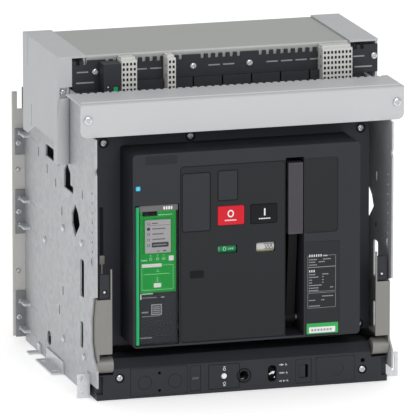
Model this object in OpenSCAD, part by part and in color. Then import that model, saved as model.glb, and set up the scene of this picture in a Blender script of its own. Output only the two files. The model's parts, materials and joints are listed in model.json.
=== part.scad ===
// Three-pole drawout air circuit breaker in its cradle.
// X is across, Y runs from the face to the rear, Z is up. Origin: centre of the footprint, on the floor.

/* [Overall] */
// Spacing of the poles across the breaker
pole_pitch = 115; // [115:1:150]
// Cradle width outside the group of poles, on each side
side_w = 48; // [48:1:70]
// Height of the cradle
overall_h = 439; // [439:1:540]
// Depth from the breaker's face to the rear mounting plane
cradle_depth = 395; // [395:1:480]
// How far the power terminals stand behind the rear mounting plane
terminal_reach = 50; // [44:1:80]

/* [Cradle sheet metal] */
// Thickness of the side plates
plate_t = 2.5; // [2:0.1:3]
// How far each side plate stands in from the overall width
flange_w = 17.2; // [16:0.1:20]
// Thickness of the crossbar and the bottom tray
sheet_t = 2; // [1.5:0.1:2.5]
// Height of the crossbar's front face
crossbar_h = 44.7; // [40:0.1:50]
// Depth of the crossbar's top flange
crossbar_depth = 73; // [60:1:80]
// Wall of the moulded caps and covers
wall = 3; // [2:0.1:4]
// Diameter of the holes in the mounting feet
foot_hole_d = 9; // [7:0.1:11]

/* [Power path] */
// Height of the upper (line) terminals
upper_z = 283; // [270:1:300]
// Height of the lower (load) terminals
lower_z = 125; // [115:1:140]
// Width of the copper bars inside each pole
bar_w = 80; // [60:1:90]
// Thickness of the copper bars
bar_t = 12; // [8:0.5:16]
// Width of the outer terminal pads
pad_w = 100; // [90:1:106]
// Thickness of the outer terminal pads
pad_t = 15; // [10:0.5:20]
// Diameter of the bolt holes in the pads
pad_hole_d = 11; // [9:0.1:14]
// Spacing of the bolt holes across each pad
pad_hole_x = 50; // [40:1:60]
// Spacing of the bolt holes along each pad
pad_hole_y = 25; // [20:1:30]

/* [Racking] */
// Travel of the breaker on its rails, connected to disconnected
racking_travel = 42; // [36:1:42]
// Diameter of the racking screw
screw_d = 12; // [10:0.1:14]
// Height of the racking screw's centre line
screw_z = 20.7; // [19:0.1:22]
// How far the racking screw stands to the right of the middle
screw_x = 1.6; // [0:0.1:3]
// Height of the safety shutters
shutter_h = 30; // [28:1:34]
// Height of the extension rails
rail_h = 22; // [18:1:22]
// Width of the extension rails
rail_w = 9.8; // [8:0.1:10.5]

/* [Breaker front] */
// How far the fascia stands in front of the base's face
fascia_proud = 19; // [10:0.5:25]
// How far the front frame stands behind the base's face
frame_back = 44; // [44:0.5:60]
// Height of the bottom edge of the fascia
fascia_z = 72; // [68:1:76]
// Height of the fascia
fascia_h = 259; // [259:1:270]
// How far the fascia stands in from the overall width, on each side
fascia_inset = 65.5; // [60:0.5:70]
// Thickness of the front frame
frame_t = 6; // [4:0.5:8]
// Travel of the push buttons
button_travel = 4; // [2:0.5:5]
// Diameter of the pole shaft
shaft_d = 24; // [18:0.5:28]
// Diameter of the charging cam's shaft
cam_d = 20; // [14:0.5:22]
// Diameter of the charging handle's pin
handle_pin_d = 8; // [6:0.5:10]
// Diameter of the pin that the moving contacts turn on
contact_pin_d = 10; // [8:0.5:12]

/* [Fits] */
// Clearance round a turning shaft, on its radius
run_gap = 0.05; // [0.03:0.01:0.1]
// Clearance beside a sliding piece
slide_gap = 0.5; // [0.4:0.05:0.8]
// Clearance round a button or a window piece
button_gap = 0.4; // [0.3:0.05:0.6]

/* [Hidden] */
$fn = 48;

poles = [-1, 0, 1];
overall_w = 3 * pole_pitch + 2 * side_w;
half_w = overall_w / 2;
plate_x = half_w - flange_w;          // outer face of a side plate
inner_x = plate_x - plate_t;          // inner face of a side plate
front_y = -(cradle_depth + terminal_reach) / 2;
rear_y = front_y + cradle_depth;
base_y = front_y + fascia_proud;      // face of the racking base
frame_y = base_y + frame_back;        // face of the front frame
cross_z = overall_h - 85.6;           // underside of the crossbar
breaker_top = cross_z - 3.4;          // top of what slides out under the crossbar
case_top = breaker_top - 13;          // the control sockets reach down to just above this
case_back = rear_y - 80;              // rear face of the breaker's case
case_split = case_back - 96;          // joint between the two halves of the case
case_front_y = case_split - 80;
case_x = (3 * pole_pitch + 20) / 2;   // half width of the case
side_t = 3;                           // breaker side plates
frame_x = inner_x - 13.8;             // half width of the front frame
frame_z = 62;                         // underside of the front frame
fascia_x = half_w - fascia_inset;     // half width of the fascia
fascia_top = fascia_z + fascia_h;
rail_x = inner_x - slide_gap;         // outer face of a rail
rail_z = 36.5;
cap_y = base_y + 114;                 // face of the caps and the terminal rack
cap_depth = 177.5;
cap_in_x = half_w - 39.5;             // inner edge of a cap
cluster_h = bar_t + 12;
pocket_y = rear_y - 58;               // mouths of the rear base's pockets
shutter_y = pocket_y - 5;
shutter_travel = 2 * racking_travel;
bar_face_y = base_y - 1.6;            // front of the crossbar
base_h = 53;                          // height of the racking base

function back(d) = base_y + d;        // a depth behind the base's face

// ---- helpers ----
module block(lo, hi) translate(lo) cube(hi - lo);
module rod_x(d, x0, x1, y, z) translate([x0, y, z]) rotate([0, 90, 0]) cylinder(d = d, h = x1 - x0);
module rod_y(d, y0, y1, x, z) translate([x, y0, z]) rotate([-90, 0, 0]) cylinder(d = d, h = y1 - y0);
module rod_z(d, z0, z1, x, y) translate([x, y, z0]) cylinder(d = d, h = z1 - z0);
// A flat outline drawn as (Y, Z), made solid from x0 to x1
module slab_x(x0, x1) translate([x0, 0, 0]) rotate([90, 0, 90]) linear_extrude(x1 - x0) children();
// A flat outline drawn as (X, Z), made solid from y0 to y1
module slab_y(y0, y1) translate([0, y1, 0]) rotate([90, 0, 0]) linear_extrude(y1 - y0) children();
module rect(lo, hi) translate(lo) square(hi - lo);
// Rectangle with round corners of radius r
module round_rect(lo, hi, r) {
    rect([lo[0] + r, lo[1]], [hi[0] - r, hi[1]]);
    rect([lo[0], lo[1] + r], [hi[0], hi[1] - r]);
    for (x = [lo[0] + r, hi[0] - r], z = [lo[1] + r, hi[1] - r]) translate([x, z]) circle(r);
}
module both_sides() {
    children();
    mirror([1, 0, 0]) children();
}
// Pan-head screw along Y: its head stands in front of face y, its shank of length l goes in
module screw(x, y, z, d = 8, l = 3) {
    difference() {
        rod_y(d, y - 3, y, x, z);
        for (turn = [0, 90]) translate([x, y - 3.01, z]) rotate([0, turn, 0])
            translate([-d * 0.32, 0, -0.6]) cube([d * 0.64, 1.6, 1.2]);
    }
    rod_y(4, y - 0.01, y + l, x, z);
}
module screw_hole(x, y, z, l = 3) rod_y(4, y - 1, y + l, x, z);

// ---- cradle ----
// Heights of the stiffening tabs at the rear corner of a side plate
tab_z = [18, 55, 161, 198, 288];
// Heights between which the plate's rear edge is folded out into a fixing tab
fold_z = [[6, 70], [149, 210], [258, 294]];
fixing_z = [34, 180, 275];
plate_top = cross_z + crossbar_h - sheet_t - 2;
plate_rear = rear_y - 26;
rivets = [[57, 200], [151, 49], [47, 49], [245, 163], [150, 200]];

module side_outline() polygon([
    [back(-14), 20], [back(-14), 44], [back(4), 60], [back(12), 76], [back(12), 107], [back(3), 138],
    [back(-11), 142], [back(-11), 305], [back(-6), 310], [back(-11), 315], [back(-11), cross_z - 1],
    [bar_face_y + sheet_t, cross_z - 1], [bar_face_y + sheet_t, plate_top],
    [plate_rear - 60, plate_top], [plate_rear, plate_top - 50],
    [plate_rear, 0], [back(40), 0], [back(22), 20]
]);
module side_cuts() {
    round_rect([back(169), 280], [back(240), 296], 2);
    polygon([[back(147), 257], [back(147), 280], [back(131), 293], [back(114), 281], [back(114), 266],
        [back(101), 266], [back(101), 257]]);
    polygon([[back(92), 201], [back(109), 217], [back(109), 229], [back(91), 246], [back(76), 236],
        [back(68), 222]]);
    round_rect([back(48), 128], [back(67), 178], 4);
    round_rect([back(53), 59], [back(67), 94], 4);
    round_rect([back(217), 23], [back(236), 42], 8);
    for (slit = [[276, 277], [231, 263], [187, 253], [53, 266], [156, 221], [170, 84], [152, 114]])
        round_rect([back(slit[0]), slit[1] - 6], [back(slit[0] + 4), slit[1] + 6], 1.5);
    for (z = [200 : 13 : 278]) translate([back(6), z]) circle(d = 4);
    for (rivet = rivets) translate([back(rivet[0]), rivet[1]]) circle(d = 6);
    polygon([[back(6), 178], [back(14), 186], [back(6), 194]]);
}
// Left-hand side plate with its folded tabs; the right one is its mirror image
module side_plate() {
    mirror([1, 0, 0]) {
        slab_x(inner_x, plate_x) difference() {
            side_outline();
            side_cuts();
        }
        for (z = tab_z) block([plate_x, plate_rear - 26, z - 2], [plate_x + 9, plate_rear, z + 2]);
        slab_y(plate_rear - plate_t, plate_rear) difference() {
            for (fold = fold_z) rect([plate_x - 0.1, fold[0]], [plate_x + 13.7, fold[1]]);
            for (z = fixing_z) translate([plate_x + 9.2, z]) circle(d = 4);
        }
    }
}
module side_plate_left() color("#AEAFB2") side_plate();
module side_plate_right() color("#AEAFB2") mirror([1, 0, 0]) side_plate();

tray_z = 4;
bearing_y = [back(50), shutter_y - wall - 1];
module bottom_tray() color("#9C9DA0") {
    block([-inner_x, back(48), tray_z], [inner_x, rear_y - 62, tray_z + sheet_t]);
    for (y = bearing_y) slab_y(y, y + wall) difference() {
        round_rect([screw_x - 16, tray_z + sheet_t], [screw_x + 16, screw_z + 14], 5);
        translate([screw_x, screw_z]) circle(d = screw_d + 2 * run_gap);
    }
}
bar_gap = 0.2;
wall_y = rear_y - 30;                 // front of the rear base's solid wall
panel_sink = 3;                       // depth of the rear base's panels
module rear_base() color("#5A5B5E") difference() {
    union() {
        block([-inner_x + slide_gap, wall_y, 8], [inner_x - slide_gap, rear_y, cross_z - 8]);
        both_sides() block([shutter_x + slide_gap, shutter_y - 1, 8], [shutter_x + 4, wall_y + 5, post_top]);
        for (pole = poles, z = [lower_z, upper_z]) translate([pole * pole_pitch, 0, z])
            block([-50, pocket_y, -18], [50, wall_y, 18]);
    }
    for (pole = poles, z = [lower_z, upper_z]) translate([pole * pole_pitch, 0, z]) {
        block([-46, pocket_y - 1, -15], [46, wall_y, 15]);
        block([-bar_w / 2 - bar_gap, 0, -bar_t / 2 - bar_gap],
            [bar_w / 2 + bar_gap, rear_y + 1, bar_t / 2 + bar_gap]);
    }
    for (side = [-1, 1], z = [lower_z / 2, (lower_z + upper_z) / 2])
        translate([side * pole_pitch / 2, 0, z]) block([-12, rear_y - panel_sink, -26], [12, rear_y + 1, 26]);
}
post_top = upper_z + shutter_travel + shutter_h / 2 + 3;
flange_z = [7, 321];
module rear_flanges() color("#A9A8A4") both_sides() difference() {
    slab_y(plate_rear, plate_rear + 3) {
        rect([inner_x, flange_z[0]], [half_w, flange_z[1]]);
        rect([plate_x + 10, flange_z[1] - 1], [half_w, flange_z[1] + 24]);
    }
    for (z = fixing_z) screw_hole(plate_x + 9.2, plate_rear, z, 5);
    for (z = [98, 238]) rod_y(7, plate_rear - 1, plate_rear + 5, plate_x + 9.2, z);
}
// Pressed-steel bar that ties the side plates together above the breaker
module crossbar() color("#C9CACC") {
    top_z = cross_z + crossbar_h;
    face_y = bar_face_y;
    difference() {
        union() {
            slab_y(face_y, face_y + sheet_t) {
                round_rect([-half_w, cross_z], [half_w, top_z], 9);
                rect([-half_w, cross_z + 20], [half_w, top_z]);
            }
            block([-half_w, face_y, top_z - sheet_t], [half_w, face_y + crossbar_depth, top_z]);
        }
        for (x = [10 - half_w : 10 : half_w - 10]) translate([x, face_y + crossbar_depth, cross_z])
            block([-2, -5, 0], [2, 1, overall_h - cross_z]);
        both_sides() screw_hole(half_w - 10, face_y, cross_z + 23.4, 5);
    }
    both_sides() block([plate_x, face_y + sheet_t, cross_z + 8], [plate_x + 3, face_y + 48, top_z - sheet_t]);
}
panel_z = overall_h - 2.5;
module top_panel() color("#A1A3A0") {
    block([-cap_in_x + 0.5, cap_y + 4, panel_z - wall], [cap_in_x - 0.5, cap_y + cap_depth, panel_z]);
    block([-cap_in_x + 0.5, cap_y + 4, overall_h - 50], [cap_in_x - 0.5, cap_y + 6, panel_z - wall]);
    block([-cap_in_x + 0.5, cap_y + cap_depth - 2, breaker_top + 3],
        [cap_in_x - 0.5, cap_y + cap_depth, panel_z - wall]);
}
pilaster_x = plate_x + 8.6;
pilaster_screw_z = overall_h - 48.4;
// Right-hand moulded cap: roof, side wall, rear wall, and a round pilaster at its front corner
module cap(front) difference() {
    roof_z = overall_h;
    side_y = front ? cap_y : cap_y + wall + 0.5;
    union() {
        block([cap_in_x, cap_y, roof_z - wall], [half_w, cap_y + cap_depth, roof_z]);
        slab_x(half_w - wall, half_w) polygon([
            [side_y, rack_z[0] - 0.5], [side_y, roof_z], [cap_y + cap_depth, roof_z],
            [cap_y + cap_depth, roof_z - 133], [cap_y + cap_depth - 24, roof_z - 133],
            [cap_y + 116, roof_z - 117], [cap_y + 20, roof_z - 117], [cap_y + 12, roof_z - 145]
        ]);
        block([cap_in_x, cap_y + cap_depth - wall, plate_top + 0.5],
            [half_w, cap_y + cap_depth, roof_z - wall]);
        block([cap_in_x, cap_y + 6, roof_z - 42], [cap_in_x + wall, cap_y + cap_depth, roof_z - wall]);
        if (front) block([half_w - 20, cap_y, roof_z - 41], [half_w, cap_y + wall, roof_z - wall]);
        intersection() {
            rod_z(24, roof_z - 145, roof_z - wall, pilaster_x, cap_y + 12);
            block([plate_x + 0.3, cap_y - 1, 0], [half_w, cap_y + 26, front ? roof_z - 2 : rack_z[0] - 0.5]);
        }
    }
    block([pilaster_x - 5, cap_y - 1, roof_z - 56], [pilaster_x + 5, cap_y + 6, roof_z - 42]);
    block([half_w - 1.2, cap_y + 150, roof_z - 40], [half_w + 1, cap_y + 152, roof_z + 1]);
    block([half_w - 1.2, cap_y + 133, roof_z - 118], [half_w + 1, cap_y + 135, roof_z - 90]);
    if (front) rod_y(4, cap_y + 5, cap_y + 12, pilaster_x, pilaster_screw_z);
}
module cap_left() color("#B9BABB") mirror([1, 0, 0]) cap(true);
module cap_right() color("#B9BABB") cap(false);

rack_z = [overall_h - 56, overall_h - 7];
rack_x = [-half_w + 20.5, half_w - 0.5];
rack_screw_x = [rack_x[0] + 31, -35.2, 42.2, half_w - 6];
rack_screw_z = overall_h - 22.5;
block_pitch = 5;
function block_span(x, cols) = [x, x + cols * block_pitch + 1];
// Left and right edges of the terminal blocks, and of the position switch block
block_spans = [block_span(rack_x[0] + 61, 4), block_span(rack_x[0] + 124, 2), block_span(rack_x[1] - 83, 8),
    [rack_x[0] + 36, rack_x[0] + 60]];
// Black comb that the terminal blocks clip on
module terminal_rack() color("#26272A") difference() {
    union() {
        block([rack_x[0], cap_y, rack_z[0]], [rack_x[1], cap_y + wall, rack_z[1]]);
        for (x = [rack_x[0] + 84 : 40 : rack_x[1] - 80])
            block([x, cap_y - 8, rack_z[0]], [x + 38, cap_y, rack_z[0] + 20]);
        for (x = [rack_x[0], rack_x[1] - 34])
            block([x, cap_y - 6, rack_z[0]], [x + 34, cap_y, rack_z[0] + 9]);
    }
    for (span = block_spans)
        block([span[0] - 0.3, cap_y - 9, rack_z[0] - 1], [span[1] + 0.3, cap_y, rack_z[1] + 1]);
    block([inner_x - 0.5, cap_y - 9, rack_z[0] - 1], [half_w, cap_y + wall + 1, plate_top + 0.5]);
    for (x = [rack_x[0] + 8 : 10 : rack_x[1] - 8])
        if (min([for (s = rack_screw_x) abs(x - s)]) > 9)
            block([x - 2.5, cap_y - 9, rack_z[1] - 6], [x + 2.5, cap_y + 9, rack_z[1] + 1]);
    for (x = [rack_x[0] + 14 : 20 : rack_x[1] - 20])
        if (min([for (s = rack_screw_x) abs(x - s)]) > 12)
            block([x - 8, cap_y - 9, rack_screw_z - 1], [x + 8, cap_y + 9, rack_screw_z + 1]);
    for (x = rack_screw_x) screw_hole(x, cap_y, rack_screw_z, 5);
}
block_y = cap_y - 22;                 // front of the terminal blocks
block_z = [overall_h - 50, overall_h - 2.6];
block_rows = 6;
// Push-in terminal block with a stepped top and rows of square wire entries
module terminal_block(span) {
    cols = (span[1] - span[0] - 1) / block_pitch;
    step = (block_z[1] - block_z[0] - 6) / block_rows;
    difference() {
        union() {
            block([span[0], block_y, block_z[0]], [span[1], cap_y, block_z[1] - 3]);
            block([span[0] + 1, block_y + 6, block_z[1] - 3], [span[1] - 1, cap_y, block_z[1]]);
        }
        for (c = [0 : cols - 1], r = [0 : block_rows - 1])
            translate([span[0] + c * block_pitch, block_y, block_z[0] + r * step])
                block([1.5, -1, 3], [block_pitch - 0.5, 4, step]);
    }
}
module terminal_blocks() color("#D6D6D3") for (i = [0 : 2]) terminal_block(block_spans[i]);
// Black block with a green plug and two small sockets, clipped on beside the terminal blocks
module position_switch_block() translate([block_spans[3][0], block_y, block_z[0]]) {
    color("#222326") difference() {
        block([0, -2, -1], [24, cap_y - block_y, block_z[1] - block_z[0] - 6]);
        block([13, -3, -2], [20, 6, 11]);
        for (z = [3, 9]) block([5, -3, z], [8, 2, z + 3]);
    }
    color("#1FA055") block([13.5, -2, -0.5], [19.5, 6, 10.5]);
}
socket_x = [for (i = [-3 : 3]) i * 42];
// Fixed halves of the sliding control contacts, hung from the terminal rack
module control_sockets() color("#2B2C2F") for (x = socket_x) difference() {
    block([x - 18, cap_y + wall, case_top + 1.5], [x + 18, cap_y + 36, overall_h - 52]);
    for (p = [-12 : 6 : 12]) rod_y(3.4, cap_y, cap_y + 16, x + p, case_top + 7);
}
base_screw = [[-168, 28.6], [165, 17.8]];
module cradle_screws() color("#C8C9CB") {
    both_sides() screw(half_w - 10, bar_face_y, cross_z + 23.4, 12, 5);
    for (x = rack_screw_x) screw(x, cap_y, rack_screw_z, 9);
    for (point = base_screw) screw(point[0], back(3), point[1], 9, 5);
    both_sides() for (z = fixing_z) screw(plate_x + 9.2, plate_rear - plate_t, z, 8, 5);
    screw(-pilaster_x, cap_y + 6, pilaster_screw_z, 8, 5);
}
module cradle_rivets() color("#D0D1D3") both_sides() for (rivet = rivets) {
    rod_x(6, inner_x, plate_x, back(rivet[0]), rivet[1]);
    rod_x(10, plate_x, plate_x + 3, back(rivet[0]), rivet[1]);
}
// Front angles with an upright slot, floor plates with two holes, and rear tabs
module mounting_feet() color("#B4B5B7") both_sides() {
    slab_y(back(20), back(20) + plate_t) difference() {
        rect([plate_x, 0], [half_w, 33]);
        round_rect([plate_x + 9, 7], [plate_x + 12.5, 29], 1.7);
    }
    slab_x(plate_x, plate_x + plate_t) polygon([[back(22.5), 0], [back(60), 0], [back(60), 10],
        [back(30), 33], [back(22.5), 33]]);
    difference() {
        union() {
            block([plate_x, back(150), 0], [half_w, back(234), 3]);
            block([plate_x, back(150), 3], [plate_x + plate_t, back(234), 18]);
        }
        for (y = foot_hole_y) rod_z(foot_hole_d, -1, 4, foot_hole_x, y);
    }
    block([plate_x, back(268), 0], [half_w, back(281), 3]);
    block([plate_x, back(268), 3], [plate_x + plate_t, back(281), 14]);
}
foot_hole_x = plate_x + 10;
foot_hole_y = [back(164), back(220)];

// ---- racking base ----
base_x = inner_x - 1.5;               // half width of the base
base_mid_x = inner_x - 23.8;          // half width of its taller middle
base_end_h = 34;
base_depth = 45;
key_plate = [[-153.5, 3], [-76, 40]];
blank_plate = [[101, 4], [154, 38]];
tab_rect = [[-72, 4.5], [-58, 38.5]];
crank_rect = [[73, 5], [94, 37]];
release_at = [-25.3, 21.5];
release_d = 8;
pointer_at = [40.4, 20.7];
module racking_base() color("#34353A") difference() {
    union() {
        slab_x(-base_mid_x, base_mid_x) polygon([[back(0), 0], [back(base_depth), 0],
            [back(base_depth), base_h], [back(12), base_h], [back(0), base_h - 12]]);
        block([-base_x, back(0), 0], [base_x, back(base_depth), base_end_h]);
    }
    block([-base_x + wall, back(8), wall], [base_x - wall, back(base_depth + 1), base_end_h - wall]);
    slab_x(-base_mid_x + wall, base_mid_x - wall) polygon([[back(8), wall], [back(base_depth + 1), wall],
        [back(base_depth + 1), base_h - wall], [back(14), base_h - wall], [back(8), base_h - 15]]);
    both_sides() block([base_x - 8, back(-1), 8], [base_x + 1, back(5), base_end_h - 2]);
    slab_y(back(-1), back(2)) {
        rect(key_plate[0], key_plate[1]);
        rect(blank_plate[0], blank_plate[1]);
    }
    slab_y(back(-1), back(9)) {
        round_rect(tab_rect[0] - [button_gap, button_gap], tab_rect[1] + [button_gap, button_gap], 1);
        round_rect(crank_rect[0] - [button_gap, button_gap], crank_rect[1] + [button_gap, button_gap], 1);
        translate(release_at) circle(d = release_d + 2 * button_gap);
        translate([screw_x, screw_z]) circle(d = screw_d + 2 * button_gap);
        round_rect(pointer_at - [6, 11], pointer_at + [6, 11], 5);
        translate([165.5, 30]) circle(d = 6);
    }
    for (point = base_screw) {
        rod_y(11, back(-1), back(3), point[0], point[1]);
        screw_hole(point[0], back(3), point[1], 5);
    }
    for (x = [-114], z = [8.5, 32]) rod_y(4, back(-1), back(9), x, z);
}
module keylock_plate() color("#303136") difference() {
    slab_y(back(0), back(2)) round_rect(key_plate[0] + [0.2, 0.2], key_plate[1] - [0.2, 0.2], 2);
    for (x = [-114], z = [8.5, 32]) rod_y(4, back(-1), back(3), x, z);
    for (x = [-134, -93]) difference() {
        rod_y(19, back(-1), back(0.6), x, 20.2);
        rod_y(17.6, back(-2), back(1), x, 20.2);
    }
}
module base_blank_plate() color("#303136") difference() {
    slab_y(back(0), back(2)) round_rect(blank_plate[0] + [0.2, 0.2], blank_plate[1] - [0.2, 0.2], 1.5);
    rod_y(17, back(-1), back(0.7), 130, 21.5);
}
module padlock_tab() color("#35363B") difference() {
    slab_y(back(0.4), back(30)) round_rect(tab_rect[0], tab_rect[1], 1);
    rod_x(8, -80, -50, back(14), 21.5);
}
module release_button() color("#F2F2F2") {
    rod_y(release_d, back(0.3), back(12), release_at[0], release_at[1]);
    rod_y(release_d + 4, back(12), back(14), release_at[0], release_at[1]);
}
screw_start = back(10);
// Racking screw with the hexagonal socket that the crank fits
module racking_screw() color("#A8A9AB") difference() {
    union() {
        rod_y(screw_d, screw_start, shutter_y - 0.5, screw_x, screw_z);
        rod_y(screw_d + 6, back(38), back(41), screw_x, screw_z);
    }
    translate([screw_x, screw_start - 1, screw_z]) rotate([-90, 0, 0]) cylinder(d = 8, h = 15, $fn = 6);
}
pointer_tilt = 22;
// White pointer on its disc, which turns to face one of three positions
module position_pointer() {
    color("#F0F0F0") translate([pointer_at[0], 0, pointer_at[1]]) rotate([0, -pointer_tilt, 0])
        slab_y(back(2.5), back(4)) polygon([[-4, -0.8], [1, -0.8], [1, -2.4], [5, 0], [1, 2.4], [1, 0.8],
            [-4, 0.8]]);
    color("#1D1E20") {
        rod_y(14, back(9.5), back(12), pointer_at[0], pointer_at[1]);
        rod_y(3, back(4), back(30), pointer_at[0], pointer_at[1]);
    }
}
// Folding crank, stored in the base
module crank_handle() color("#3B3C41") {
    slab_y(back(0.4), back(34)) difference() {
        round_rect(crank_rect[0], crank_rect[1], 1);
        round_rect([77, 12], [90, 30], 2);
    }
    slab_y(back(30), back(34)) rect([76, 10], [92, 32]);
    rod_y(10, back(34), back(150), 83.5, 20.7);
    translate([83.5, back(150), 20.7]) rotate([-90, 0, 0]) cylinder(d = 7.6, h = 20, $fn = 6);
}
beam_y = case_back - 60;              // front of the breaker's bottom beam
beam_z = [base_h + 1, base_h + 9];    // it passes over the racking base as the breaker comes out
// Travelling nut with a beam and two fingers that stand behind the breaker's bottom beam
module racking_carriage() color("#8F9093") difference() {
    union() {
        block([-140, beam_y + 10 + slide_gap, tray_z + sheet_t + 3], [140, beam_y + 24, screw_z + 11]);
        both_sides() block([96, beam_y + 10 + slide_gap, screw_z + 10], [110, beam_y + 24, beam_z[1] - 1]);
    }
    rod_y(screw_d + 2 * run_gap, beam_y, beam_y + 40, screw_x, screw_z);
    for (x = [-100, 100]) block([x - 34, beam_y + 13, 0], [x + 34, beam_y + 21, screw_z + 8]);
}

// ---- power terminals and shutters ----
stab_gap = 0.3;
module cradle_terminal(z) for (pole = poles) translate([pole * pole_pitch, 0, z]) {
    block([-bar_w / 2, pocket_y + 4, -bar_t / 2 + stab_gap], [bar_w / 2, rear_y, bar_t / 2 - stab_gap]);
    difference() {
        block([-pad_w / 2, rear_y, -pad_t / 2], [pad_w / 2, rear_y + terminal_reach, pad_t / 2]);
        for (x = [-1, 1] * pad_hole_x / 2, y = [-1, 1] * pad_hole_y / 2)
            rod_z(pad_hole_d, -pad_t, pad_t, x, rear_y + terminal_reach / 2 + y);
    }
}
module line_terminals() color("#B87548") cradle_terminal(upper_z);
module load_terminals() color("#B87548") cradle_terminal(lower_z);
shutter_x = inner_x - 16.8;
module shutter(z) {
    block([-shutter_x, shutter_y, z - shutter_h / 2], [shutter_x, shutter_y + 3, z + shutter_h / 2]);
    both_sides() block([shutter_x - 8, shutter_y - 5, z - shutter_h / 2],
        [shutter_x, shutter_y + 0.5, z + shutter_h / 2]);
}
module shutter_upper() color("#C9B27A") shutter(upper_z + shutter_travel);
module shutter_lower() color("#C9B27A") shutter(lower_z - shutter_travel);

// ---- extension rails ----
module rail_guides() color("#8B8C8E") both_sides() {
    shelf_z = rail_z - slide_gap;
    block([rail_x - rail_w - 2, back(50), shelf_z - sheet_t], [inner_x, rear_y - 66, shelf_z]);
    block([rail_x - rail_w - 2, back(50), tray_z + sheet_t],
        [rail_x - rail_w, rear_y - 66, shelf_z - sheet_t + 0.5]);
}
nose_in_x = inner_x - 23;
// Right-hand rail: channel, round nose, pull bracket and strap
module rail() {
    difference() {
        block([rail_x - rail_w, back(8), rail_z], [rail_x, rear_y - 72, rail_z + rail_h]);
        block([rail_x - rail_w - 1, back(30), rail_z + 3], [rail_x - 3, rear_y - 71, rail_z + rail_h - 3]);
    }
    rod_x(rail_h, nose_in_x, rail_x, back(5), rail_z + rail_h / 2);
    block([rail_x - 2.5, back(-8), rail_z + rail_h - 4], [rail_x, back(30), 137.5]);
    block([rail_x - 20, back(-8), 64], [rail_x, back(-5.5), 137.5]);
    block([rail_x - 20, back(-8), 137], [rail_x - 17.8, back(-5.5), 178]);
}
module rail_left() color("#8B8A87") mirror([1, 0, 0]) rail();
module rail_right() color("#8B8A87") rail();
module rail_catches() color("#1F2022") both_sides() difference() {
    block([rail_x - 17.3, back(-5), 138.5], [rail_x - 3.6, back(-0.5), 171]);
    rod_y(6, back(-6), back(-2), rail_x - 11, 147);
}

// ---- breaker ----
plate_foot_z = rail_z + rail_h - slide_gap;   // lower edge of the plates, beside the rails
lug_z = rail_z + rail_h + slide_gap;          // underside of the lugs that rest on the rails
lug_y = [back(100), case_back - 16];
module breaker_side_plates() color("#77797C") {
    both_sides() {
        slab_x(case_x + 0.3, case_x + 0.3 + side_t) difference() {
            polygon([[frame_y + frame_t, 64], [lug_y[0], 64], [lug_y[0], plate_foot_z],
                [beam_y - 10, plate_foot_z], [beam_y - 4, beam_z[0] - 0.5], [beam_y + 14, beam_z[0] - 0.5],
                [beam_y + 20, plate_foot_z], [lug_y[1], plate_foot_z], [lug_y[1], 64], [case_back, 64],
                [case_back, case_top], [frame_y + frame_t, breaker_top - 4]]);
            for (z = [120, 200, 280]) translate([frame_y + 45, z]) circle(d = 26);
        }
        block([case_x + 2, lug_y[0] + 2, lug_z], [rail_x - 1, lug_y[1] - 2, lug_z + 3]);
    }
    block([-case_x - 2, beam_y, beam_z[0]], [case_x + 2, beam_y + 10, beam_z[1]]);
}
frame_screw = [[-frame_x + 10, breaker_top - 14.4], [-59, breaker_top - 12], [frame_x - 12, breaker_top - 15],
    [-frame_x + 14, frame_z + 7], [frame_x - 14, frame_z + 7]];
module front_frame() color("#2F3035") difference() {
    slab_y(frame_y, frame_y + frame_t) difference() {
        rect([-frame_x, frame_z], [frame_x, breaker_top]);
        rect([-fascia_x + 6, frame_z + 16], [fascia_x - 6, fascia_top - 6]);
    }
    for (point = frame_screw) {
        rod_y(12, frame_y - 1, frame_y + 2, point[0], point[1]);
        screw_hole(point[0], frame_y + 2, point[1], 4);
    }
}
module frame_screws() color("#C8C9CB") for (point = frame_screw) screw(point[0], frame_y + 2, point[1], 9, 4);

panel_back = 1;                       // depth of the middle panel's recess
left_x = -fascia_x + 3.2;             // left edge of the control unit's window
unit_w = 59.3;
unit_x = [left_x, left_x + unit_w];
unit_z = [fascia_z + wall - 0.5, fascia_z + 191];
slot_x = [fascia_x - 102, fascia_x - 77];
slot_z = [fascia_z + 3, fascia_z + 243];
slot_wall = 1.5;
slot_back_y = frame_y - 8;
lock_plate = [[-88, 224], [-50, 302]];
aux_plate = [[-39.4, 263], [-12.6, 303]];
off_rect = [[-39.8, 229.7], [-3.5, 255.5]];
on_rect = [[5, 229.2], [41, 255]];
contact_window = [[-39.8, 192.2], [-13, 202.4]];
spring_window = [[13, 190.7], [38.7, 203.3]];
recess_rect = [[slot_x[1] - 0.4, 212], [slot_x[1] + 46.6, 313]];
label_rect = [[slot_x[1] + 2, 74], [slot_x[1] + 48.5, 200]];
module grown(r, by, radius) round_rect(r[0] - [by, by], r[1] + [by, by], radius);
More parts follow.
